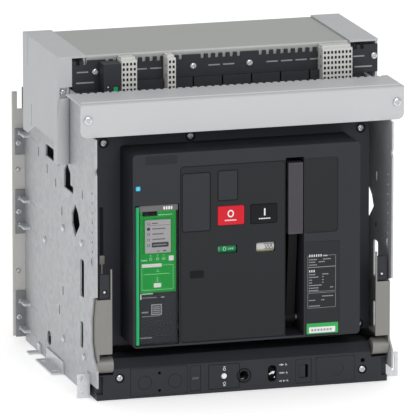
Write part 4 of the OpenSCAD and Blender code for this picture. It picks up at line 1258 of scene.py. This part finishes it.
@dataclass
class BreakerFront:
    """Frame, fascia, buttons, windows, charging handle and rating labels."""

    panel_back: float = 1.0
    panel_in: tuple[float, float] = (64.0, 207.8)
    panel_foot: float = 3.1
    groove: float = 0.8
    symbol: float = 1.7
    drum_r: float = 10.0
    grip_h: float = 95.9
    notch_in: float = 4.0
    notch_z: tuple[float, float] = (186.0, 250.0)
    second_deg: tuple[float, float] = (38.0, 90.0)
    seat_r: float = 6.9
    seat_w: float = 1.3
    low: np.ndarray = field(default_factory=lambda: box_mm("fascia")[0])
    high: np.ndarray = field(default_factory=lambda: box_mm("fascia")[1])

    def build(self) -> None:
        """Builds the mouldings, then the controls in them, then the printing."""
        soften_all(
            [
                ("front_frame", "charcoal_moulding", FRAME_BLACK, 0.5),
                ("blank_plates", "charcoal_moulding", CHARCOAL, 0.4),
                ("rating_plate", "label_black", LABEL_BLACK, 0.15),
                ("rail_left", "zinc_steel", RAIL_ZINC, 0.3),
                ("rail_right", "zinc_steel", RAIL_ZINC, 0.3),
                ("rail_catches", "black_moulding", BLACK_NYLON, 0.5),
            ]
        )
        self.fascia()
        self.buttons()
        self.flags()
        self.handle()
        self.blanks()
        self.rating()
        self.catch_rivets()
        self.screw_seats()
        self.frame_clip()
        PanScrews("frame_screws", "breaker").build()

    def fascia(self) -> None:
        """Fascia with a soft outer edge; the middle panel's floor is a shade darker, a patch of the recess is
        darkened as painted shade, and a dark line of painted shade runs at the foot of the panel's step.
        """
        low, high = self.low, self.high
        rim = Bend(1.3, low - 1, (low[0] + 6, low[1] + 0.2, high[2] + 1))
        top = Bend(1.3, (low[0] - 1, low[1] - 1, high[2] - 6), (high[0] + 1, low[1] + 0.2, high[2] + 1))
        right = Bend(1.3, (high[0] - 6, low[1] - 1, low[2] - 1), (high[0] + 1, low[1] + 0.2, high[2] + 1))
        left, foot = low[0] + self.panel_in[0], low[2] + self.panel_foot
        floor = low[1] + self.panel_back
        panel = Tint(
            CHARCOAL_DARK, (left - 0.5, floor - 0.1, foot - 0.2), (low[0] + 208, floor + 0.1, high[2] - 15)
        )
        # painted shade: this patch of the recess takes the darker charcoal
        recess = Tint(
            CHARCOAL_DARK,
            (low[0] + 233, low[1] + 1.1, low[2] + 130),
            (low[0] + 288, low[1] + 1.3, high[2] - 5),
        )
        tints, bends = (panel, recess), (rim, top, right)
        Softened("fascia", "charcoal_moulding", CHARCOAL, 0.4, tints=tints, bends=bends).build()
        # painted shade: a dark line at the foot of the middle panel's step
        edge = round_rect((left, foot), (low[0] + self.panel_in[1], high[2] - 19.1), 5)
        form = Form().hoop(edge, 1.2, floor - PRINT, floor + 0.6)
        form.build("fascia_panel_step_shade", "breaker", "charcoal_moulding", SHADOW_BLACK)
        plate = round_rect((low[0] + 17, high[2] - 14.5), (low[0] + 60, high[2] - 2.5), 1.0, 3)
        badge = Form().slab(plate, low[1] - PRINT, low[1] + 0.5)
        badge.build("fascia_blank_badge", "breaker", "charcoal_moulding", CHARCOAL_DARK)
        pane = round_rect((low[0] + 77, low[2] + 89.0), (low[0] + 96.5, low[2] + 99.5), 2.5)
        mark = Form().slab(pane, floor - PRINT, floor + 0.5)
        mark.build("fascia_faint_window", "breaker", "charcoal_moulding", SHADOW_BLACK)
        lens = LitLens("ready_lens", "#1598BC", 0.3, centre=(low[0] + 7, low[1], low[2] + 214))
        form = Form().plate(
            (low[0] + 4, low[2] + 211), (low[0] + 10, low[2] + 217), 0.8, low[1] - PRINT, low[1] + 1, edge=0.1
        )
        form.build("fascia_ready_lens", "breaker", "display_glass", lens)

    def buttons(self) -> None:
        """Push buttons with crowned caps, the O and I symbols, and a bar under each."""
        rows = (
            ("off_button", "red_plastic", RED_ABS, 17.6),
            ("on_button", "black_button", BUTTON_BLACK, 19.2),
        )
        for node, slot, finish, across in rows:
            low, high = box_mm(node)
            stem, cap_back = front_middle(low, high), low[1] + 6.5
            form = Form().plate(low[[0, 2]], high[[0, 2]], 2, low[1], cap_back, steps=5, edge=1.0)
            form.turned([(4, cap_back - 0.5), (4, high[1])], stem, sides=24)
            form.build(f"{node}_crowned", node, slot, finish, (node,))
            ink, x, z = Form(), low[0] + across, high[2] - 10.5
            if node == "off_button":
                ink.hoop(ring_outline((x, z), 4.4, 5.0), self.symbol, *printed(low[1]))
            else:
                ink.plate((x - 1.0, z - 4.8), (x + 1.0, z + 4.8), 0.3, *printed(low[1]), steps=2)
            ink.row(7, 2.3, (x - 8, z - 9.6, 1.7, 1.6), *printed(low[1]))
            ink.build(f"{node}_symbol", node, "white_plastic", INK_WHITE)

    def flags(self) -> None:
        """Indicator drums behind their windows, each with its two states printed round it."""
        for node, slot, finish, other in (
            ("contact_flag", "flag_green", FLAG_GREEN, INK_RED),
            ("spring_flag", "flag_white", FLAG_WHITE, INK_YELLOW),
        ):
            low, high = box_mm(node)
            axis = ((low[1] + high[1]) / 2, (low[2] + high[2]) / 2)
            profile = [(self.drum_r - 0.4, low[0]), (self.drum_r, low[0] + 0.4)]
            profile += [(self.drum_r, high[0] - 0.4), (self.drum_r - 0.4, high[0])]
            Form().turned(profile, axis, Facing.SIDE, 64).build(f"{node}_drum", node, slot, finish, (node,))
            swing = np.radians(np.linspace(*self.second_deg, 15))
            arc = [
                np.stack([axis[0] - r * np.cos(s), axis[1] - r * np.sin(s)], -1)
                for r, s in ((self.drum_r + PRINT, swing), (self.drum_r - 0.3, swing[::-1]))
            ]
            band = Form().slab(np.concatenate(arc), low[0] + 0.5, high[0] - 0.5, Facing.SIDE)
            band.build(f"{node}_second_state", node, slot, other)
            ink, left = Form(), low[0]
            if node == "contact_flag":
                ink.skin(self.drum_ring(left + 9.6, axis, 2.2, 3.1, 0.8), loop=True)
                for x, width, rise in ((2.0, 0.5, 3.2), (15.6, 1.0, 1.2), (18.2, 1.0, 1.2), (20.8, 1.0, 1.2)):
                    ink.drum_stroke((left + x, -rise), (left + x, rise), width, axis, self.drum_r)
                ink.build(f"{node}_symbol", node, "white_plastic", INK_GREEN)
            else:
                for turn, x in enumerate(left + 13 + np.arange(5) * 2.1):
                    lean = 1.0 if turn % 2 else -1.0
                    ink.drum_stroke((x - lean, -2.8), (x + lean, 2.8), 0.8, axis, self.drum_r)
                for height in (-3.6, 3.2):
                    ink.drum_stroke((left + 17, height), (left + 17, height + 0.6), 12.0, axis, self.drum_r)
                ink.build(f"{node}_symbol", node, "charcoal_moulding", INK_DARK)

    def drum_ring(
        self, x: float, axis: Sequence[float], across: float, up: float, width: float
    ) -> np.ndarray:
        """Elliptical ring printed on a drum, as four rings to be skinned round in a loop."""
        rings = []
        for radius, shrink in (
            (self.drum_r - 0.3, 0.0),
            (self.drum_r + PRINT, 0.0),
            (self.drum_r + PRINT, width),
            (self.drum_r - 0.3, width),
        ):
            line = ring_outline((x, 0), across - shrink, up - shrink)
            swing = line[:, 1] / self.drum_r
            rings.append(
                np.stack([line[:, 0], axis[0] - radius * np.cos(swing), axis[1] + radius * np.sin(swing)], -1)
            )
        return np.stack(rings)

    def handle(self) -> None:
        """Charging lever with upright grip ribs; the arm below the grip is black as painted shade in its slot.
        """
        low, high = box_mm("charging_handle")
        grip_foot = high[2] - self.grip_h
        # painted shade: the arm below the grip is black where it sits in the shaded slot
        arm = Tint(SHADOW_BLACK, low - 1, (high[0] + 1, high[1] + 1, grip_foot - 0.5))
        Softened("charging_handle", "handle_plastic", HANDLE_GREY, 0.6, tints=(arm,)).build()
        foot = grip_foot + 2.4
        form = Form()
        for x in np.linspace(low[0] + 2.2, high[0] - 2.2, 8):
            form.plate((x - 0.5, foot), (x + 0.5, high[2] - 2.5), 0.45, low[1] - 0.35, low[1] + 0.5, edge=0.3)
        form.build("charging_handle_ribs", "charging_handle", "handle_plastic", HANDLE_GREY)

    def blanks(self) -> None:
        """Painted shade: dark lines in the grooves round the two blanking plates."""
        form = Form()
        near = self.low[1] + self.panel_back
        for low, high in solids_of("blank_plates"):
            line = round_rect(low[[0, 2]] - self.groove, high[[0, 2]] + self.groove, 3.4)
            form.hoop(line, self.groove + 0.75, near - PRINT, near + 0.6)
        form.build("blank_plate_groove_shade", "breaker", "charcoal_moulding", SHADOW_BLACK)

    def rating(self) -> None:
        """Rating label as generic boxes and bars, and a green label with a white field."""
        low, high = box_mm("rating_plate")
        left, top, near, far = low[0] + 4, high[2] - 17, low[1] - PRINT, low[1] + 0.3
        bold = Form().row(6, 3.1, (left + 1, top - 3.4, 1.5, 3.2), near, far)
        bold.row(3, 2, (left + 20.5, top - 3.2, 1.3, 1.6), near, far)
        bold.row(3, 3.0, (left + 1, top - 24, 1.5, 3.0), near, far)
        bold.build("rating_label_headings", "breaker", "white_plastic", INK_WHITE)
        fine = Form()
        boxes = [(0.0, -17.4, 38.5, 15.5), (0.0, -50.5, 38.5, 33.1), (0.0, -72.5, 38.5, 20.5)]
        for x, z, width, height in boxes:
            outline = round_rect((left - 1 + x, top + z), (left - 1 + x + width, top + z + height), 1.0, 3)
            fine.hoop(outline, 0.35, near, far)
        rows = [(-7.6, 11, 20, 12), (-11.0, 9, 14, 9), (-14.8, 11, 0, 0), (-27.8, 8, 19, 9)]
        rows += [(-31.4, 14, 19, 3), (-35.2, 4, 19, 3), (-38.8, 5, 19, 3), (-42.4, 17, 0, 0)]
        rows += [(-46.0, 14, 30, 5), (-49.4, 14, 0, 0), (-57.6, 0, 19, 16), (-62.6, 9, 18, 5)]
        rows += [(-70.4, 15, 0, 0)]
        for z, first, start, second in rows:
            for x, length in ((left + 1, first), (left + start, second)):
                fine.row(int(length / 2.2 + 0.5), 2.2, (x, top + z, 1.7, 1.2), near, far)
        fine.build("rating_label_lines", "breaker", "white_plastic", INK_GREY)
        foot = low[2] + 1.2
        green = Form().plate((left - 2.2, foot), (left + 41, foot + 14.2), 0.8, near - 0.02, far)
        green.build("green_label", "breaker", "green_strip", LABEL_GREEN)
        white = Form().plate((left + 1, foot + 1.4), (left + 37, foot + 9), 0.6, near - 0.06, far)
        white.build("green_label_field", "breaker", "white_plastic", INK_WHITE)
        marks = Form().row(7, 4.2, (left + 4, foot + 3.4, 3.0, 3.2), near - 0.1, far)
        marks.build("green_label_bars", "breaker", "label_black", INK_GREY)

    def screw_seats(self) -> None:
        """Painted shade: a dark ring in the sunk seat of each of the frame's screws."""
        face, form = box_mm("front_frame")[0][1], Form()
        for low, high in solids_of("frame_screws"):
            seat = ring_outline(front_middle(low, high), self.seat_r, self.seat_r, 32)
            form.hoop(seat, self.seat_w, *printed(face))
        form.build("frame_screw_seat_shade", "breaker", "charcoal_moulding", SHADOW_BLACK)

    def frame_clip(self) -> None:
        """Notch up the frame's left edge as a dark plate of painted shade, with a bent metal clip under it."""
        low, _ = box_mm("front_frame")
        left, face = low[0] + self.notch_in, low[1]
        notch = Form().plate(
            (left, self.notch_z[0]), (left + 5, self.notch_z[1]), 1.0, face - PRINT, face + 0.5
        )
        notch.build("frame_notch_shade", "breaker", "charcoal_moulding", SHADOW_BLACK)
        foot = self.notch_z[0] - 13
        clip = Form().plate(
            (left - 0.6, foot), (left + 6.6, foot + 12), 1.4, face - 1.4, face + 0.4, steps=4, edge=0.5
        )
        clip.plate((left + 1.8, foot - 20), (left + 3.8, foot + 1), 0.6, face - 0.9, face + 0.4, edge=0.3)
        clip.build("frame_clip", "breaker", "zinc_steel", RAIL_ZINC)

    def catch_rivets(self) -> None:
        """Bright rivets in the rails' black catches."""
        for side, rail in ((-1, "rail_left"), (1, "rail_right")):
            solids = [s for s in solids_of("rail_catches") if s[0][0] * side > 0]
            low, high = solids[0]
            middle = ((low[0] + high[0]) / 2, low[2] + 8.5)
            profile = [(0.1, low[1] + 0.2), (1.5, low[1] + 0.4), (2.3, low[1] + 1.2), (2.4, low[1] + 3.4)]
            form = Form().turned(profile, middle, sides=24)
            form.build(f"{rail}_catch_rivet", "rails", "zinc_steel", SCREW_ZINC)


@dataclass
class ControlUnit:
    """Electronic trip unit behind its hinged clear cover."""

    low: np.ndarray = field(default_factory=lambda: box_mm("control_unit")[0])
    high: np.ndarray = field(default_factory=lambda: box_mm("control_unit")[1])
    split: float = 72.7
    bar_h: float = 8.4

    def build(self) -> None:
        """Case, panels, display, then the printing, and the cover with its hinge."""
        Softened("control_unit", "charcoal_moulding", CHARCOAL_DARK, 0.4).build()
        Softened("cover_hinge", "green_strip", HINGE_GREEN, 0.4).build()
        Softened("control_cover", "clear_cover", CLEAR, 0.25).build()
        self.panels()
        self.screen()
        self.printing()

    def panels(self) -> None:
        """Grey bar at the top, green upper panel round the display, and charcoal lower panel."""
        low, high = self.low, self.high
        face, split, bar = low[1] + 1, low[2] + self.split - 2.7, high[2] - self.bar_h
        form = Form().plate(
            (low[0] + 0.4, bar), (high[0] - 0.3, high[2] - 0.2), 0.8, face - 3.6, face, edge=0.5
        )
        form.build("unit_top_bar", "breaker", "handle_plastic", BAR_GREY)
        tab = Form().plate((low[0] + 5, bar - 6.4), (low[0] + 25, bar - 0.2), 0.6, face - 2.0, face, edge=0.3)
        tab.build("unit_dark_tab", "breaker", "charcoal_moulding", SHADOW_BLACK)
        screen_low, screen_high = box_mm("display")
        left, right, head = low[0] + 1.6, high[0] - 2.6, bar - 0.4
        pane_left, _, pane_foot = screen_low - 0.4
        pane_right, _, pane_top = screen_high + 0.4
        strips = [
            (left, split, right - left, pane_foot - split),
            (left, pane_top, right - left, head - pane_top),
            (left, pane_foot, pane_left - left, pane_top - pane_foot),
            (pane_right, pane_foot, right - pane_right, pane_top - pane_foot),
        ]
        green = Form().bars(strips, face - 1.2, face + 0.2)
        green.build("unit_green_panel", "breaker", "green_panel", UNIT_GREEN)
        form = Form().plate((left, low[2] + 1), (right, split - 0.6), 0.8, face - 1.2, face, edge=0.3)
        form.build("unit_lower_panel", "breaker", "charcoal_moulding", CHARCOAL)

    def screen(self) -> None:
        """Display with a green rim, a list of generic rows, one of them picked out, and icons."""
        low, high = box_mm("display")
        Softened("display", "display_glass", SCREEN, 0.2).build()
        near, far = low[1] - PRINT, low[1] + 0.3
        rim = Form().hoop(
            round_rect(low[[0, 2]] - 1.2, high[[0, 2]] + 1.2, 1.6, 3), 1.8, low[1] - 0.35, low[1] + 0.8
        )
        rim.build("display_rim", "breaker", "green_panel", RIM_GREEN)
        margin = Form().plate(
            (low[0] - 0.3, low[2] - 0.3),
            (low[0] + 2.2, high[2] + 0.3),
            0.3,
            low[1] - 0.3,
            low[1] + 0.5,
            steps=2,
        )
        margin.build("display_margin", "breaker", "green_panel", RIM_GREEN)
        low = low + np.array([1.8, 0, 0])
        ink = Form()
        ink.row(4, 2.1, (low[0] + 9.6, high[2] - 6.0, 1.5, 1.6), near, far)
        ink.bars([(low[0] + 2.4, high[2] - 8.2, 32, 0.4)], near, far)
        ink.hoop(round_rect((low[0] + 3, high[2] - 6.4), (low[0] + 7, high[2] - 3.8), 0.4, 2), 0.5, near, far)
        ink.slab(ring_outline((low[0] + 5, high[2] - 12.6), 2.3, 2.3, 24), near, far)
        for row in range(3):
            z = high[2] - 19.6 - row * 7.4
            ink.hoop(round_rect((low[0] + 3.4, z - 1.7), (low[0] + 6.8, z + 1.7), 0.6, 2), 0.6, near, far)
        for row, z in enumerate(high[2] - np.array([12.6, 19.6, 26.6])):
            ink.bars([(low[0] + 10.4 + 2.2 * i, z - 0.8, 1.6, 1.6) for i in range(8 - row % 2)], near, far)
        ink.plate((low[0] + 9.4, high[2] - 37.4), (low[0] + 32.2, high[2] - 30.8), 0.9, near, far)
        ink.bars([(low[0] + 16.6, low[2] + 2.4, 3, 1.2), (low[0] + 24.6, low[2] + 2.4, 4.4, 1.4)], near, far)
        ink.build("display_symbols", "breaker", "label_black", INK_DARK)
        pale = Form().row(8, 2.3, (low[0] + 11.4, high[2] - 34.9, 1.6, 1.4), near - 0.04, far)
        pale.build("display_picked_row", "breaker", "display_glass", INK_GREY)

    def printing(self) -> None:
        """Key, light bar, outlined box, small marks, a plain code patch and lines of generic bars."""
        low, high = self.low, self.high
        face = low[1] - 0.2
        near, far = printed(face)
        screen_low, _ = box_mm("display")
        left, right, row_z = low[0] + 3.4, high[0] - 5.8, screen_low[2] - 7.4
        white = Form().plate(
            (right - 6.4, row_z - 3.2), (right + 0.2, row_z + 3.2), 0.6, near - 0.2, far, edge=0.1
        )
        white.plate((left + 0.6, row_z - 10.8), (left + 27.6, row_z - 6.4), 0.3, near, far, steps=2)
        white.plate((left + 17, row_z - 38.2), (left + 26.8, row_z - 32.6), 0.4, near, far, steps=2)
        white.bars([(low[0] + 1.9, low[2] + self.split - 11.6, 1.5, 7.4)], near - 0.1, far)
        white.build("unit_white_prints", "breaker", "white_plastic", INK_WHITE)
        pale = Form().hoop(
            round_rect((left + 0.6, row_z - 41.5), (right - 0.4, row_z - 8.6), 1.2, 3), 0.4, near, far
        )
        pale.bars([(left + 4, row_z - 20.6, 34, 0.5)], near, far)
        for x in (left + 12.8, left + 22, left + 30.5):
            pale.hoop(ring_outline((x, row_z), 1.9, 1.9, 18), 0.6, near, far)
            pale.bars([(x - 0.5, row_z + 4.0, 1.0, 1.8)], near, far)
        pale.row(4, 2.1, (left, row_z - 2.2, 1.5, 1.6), near, far)
        pale.bars([(left + 21, row_z - 15, 2.4, 0.6), (left + 20.4, row_z - 17.4, 3.4, 0.6)], near, far)
        pale.bars([(left + 21, row_z - 26 - 2.2 * i, 1.8, 1.0) for i in range(3)], near, far)
        pale.row(7, 2.2, (left + 0.6, row_z - 47.2, 1.7, 1.7), near, far)
        pale.row(9, 2.1, (left + 23.4, high[2] - self.bar_h - 6.2, 1.5, 1.3), near, far)
        pale.build("unit_pale_prints", "breaker", "green_panel", INK_GREEN)
        top = low[2] + self.split
        dim = Form().row(10, 2.1, (left + 0.6, top - 10.2, 1.3, 1.3), near, far)
        dim.bars([(left + 26.6, top - 10.4, 4.6, 1.5)], near, far)
        dim.row(4, 2.3, (left + 0.6, top - 30, 1.7, 2.0), near, far)
        dim.row(12, 2.1, (left + 0.6, top - 35, 1.5, 0.9), near, far)
        dim.row(7, 2.3, (left - 1.6, low[2] + 8.6, 1.7, 1.5), near, far)
        patch = [left + 13.4, top - 33.2]
        dim.hoop(round_rect((patch[0], patch[1]), (patch[0] + 14.4, patch[1] + 14.4), 0.3, 2), 1.6, near, far)
        dim.bars([(patch[0] + 2.6, patch[1] + 2.8 + 2.4 * i, 9.2, 1.3) for i in range(4)], near, far)
        dim.build("unit_grey_prints", "breaker", "white_plastic", INK_GREY)
        mark = Form().row(4, 3.3, (right - 14.4, high[2] - 6.6, 2.2, 4.0), low[1] - 2.65, low[1] - 2)
        mark.build("unit_top_bar_mark", "breaker", "white_plastic", INK_WHITE)


@dataclass
class BreakerWorks:
    """What stands behind the breaker's front: mechanism, poles and sliding contacts."""

    cage_faces: tuple[float, float] = (6.0, 12.0)

    def build(self) -> None:
        """Softens every working piece, with its own metal, board or compound."""
        soften_all(
            [
                ("breaker_side_plates", "steel", SIDE_STEEL, 0.3),
                ("mechanism_plates", "steel", TOOL_STEEL, 0.3),
                ("cam_shaft", "steel", TOOL_STEEL, 0.3),
                ("case_front", "thermoset", THERMOSET, 0.5),
                ("case_rear", "thermoset", CASE_BROWN, 0.5),
                ("arc_chutes", "chute_board", CHUTE_BOARD, 0.3),
                ("pole_shaft", "steel", TOOL_STEEL, 0.3),
                ("moving_contacts", "silvered_copper", SILVERED, 0.3),
                ("breaker_bars", "copper", COPPER, 0.4),
                ("current_sensors", "sensor_blue", SENSOR_BLUE, 0.4),
                ("control_plugs", "black_moulding", BLACK_NYLON, 0.3),
            ]
        )
        Softened("closing_spring", "steel", SPRING_STEEL, 0.1, sharp_deg=60).build()
        low, high = box_mm("contact_clusters")
        cages = [
            Tint(BLACK_NYLON, (low[0] - 1, y - 0.1, low[2] - 1), (high[0] + 1, y + 0.1, high[2] + 1))
            for y in low[1] + np.array(self.cage_faces)
        ]
        Softened("contact_clusters", "silvered_copper", SILVERED, 0.3, tints=cages).build()


# ---- the studio -----------------------------------------------------------------------------


@dataclass
class Studio:
    """Pale floor, soft light and the camera."""

    target: tuple[float, float, float] = (0.0, -0.0535, 0.220)
    azimuth: float = 16.226
    elevation: float = 12.776
    distance: float = 9.853303
    lens: float = 642.5
    shift: tuple[float, float] = (-0.0085, -0.0088)
    floor_half: float = 60.0
    sky: float = 0.6
    floor_glow: float = 0.42
    gap_m: float = 0.0005
    sensor: float = 36.0

    def build(self) -> None:
        """Sets up floor, light, colour handling and camera."""
        self.floor()
        self.light()
        self.camera()
        bpy.context.scene.view_settings.view_transform = "Standard"

    def floor(self) -> None:
        """Wide pale floor just under the feet."""
        foot = box_mm("mounting_feet")[0][2] * MM - self.gap_m
        mesh = bpy.data.meshes.new("studio_floor")
        half = self.floor_half
        corners = [(-half, -half, foot), (half, -half, foot), (half, half, foot), (-half, half, foot)]
        mesh.from_pydata(corners, [], [(0, 1, 2, 3)])
        plain = bpy.data.materials.new("pale_studio_paper")
        plain.use_nodes = True
        paper = {
            "Base Color": linear("#FBFBFB"),
            "Roughness": 0.9,
            "Specular IOR Level": 0.1,
            "Emission Color": (1, 1, 1, 1),
            "Emission Strength": self.floor_glow,
        }
        for name, value in paper.items():
            plain.node_tree.nodes["Principled BSDF"].inputs[name].default_value = value
        mesh.materials.append(plain)
        linked("studio_floor", mesh)

    def light(self) -> None:
        """Even pale surroundings, a large key at the front left above, and a softer fill."""
        world = bpy.data.worlds.new("studio_world")
        world.use_nodes = True
        ground = world.node_tree.nodes["Background"]
        ground.inputs["Color"].default_value = (1, 1, 1, 1)
        ground.inputs["Strength"].default_value = self.sky
        bpy.context.scene.world = world
        rows = (
            ("key", (0.4, -4.4, 2.2), 2.4, 60.0),
            ("side", (-4.2, -1.2, 1.4), 2.4, 2.0),
            ("top", (0.2, 0.9, 3.4), 2.4, 16.0),
        )
        for name, place, size, power in rows:
            lamp = bpy.data.lights.new(name, "AREA")
            lamp.shape, lamp.size, lamp.energy = "DISK", size, power
            holder = linked(name, lamp)
            holder.location = place
            away = Vector(place) - Vector(self.target)
            holder.rotation_euler = away.to_track_quat("Z", "Y").to_euler()

    def camera(self) -> None:
        """Long-lens camera on the line of sight given by azimuth and elevation."""
        lens = bpy.data.cameras.new("camera")
        lens.lens, lens.sensor_width = self.lens, self.sensor
        lens.shift_x, lens.shift_y = self.shift
        lens.clip_start, lens.clip_end = 0.1, 200.0
        a, e = math.radians(self.azimuth), math.radians(self.elevation)
        back = Vector((-math.sin(a) * math.cos(e), -math.cos(a) * math.cos(e), math.sin(e)))
        holder = linked("camera", lens)
        holder.location = Vector(self.target) + back * self.distance
        holder.rotation_euler = back.to_track_quat("Z", "Y").to_euler()
        bpy.context.scene.camera = holder


def main() -> None:
    """Builds every sub-assembly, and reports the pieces."""
    logging.basicConfig(level=logging.INFO, format="%(name)s: %(message)s")
    for assembly in (Cradle(), RackingBase(), BreakerFront(), ControlUnit(), BreakerWorks(), Studio()):
        LOG.info("building %s", type(assembly).__name__)
        assembly.build()


if __name__ == "__main__":
    main()
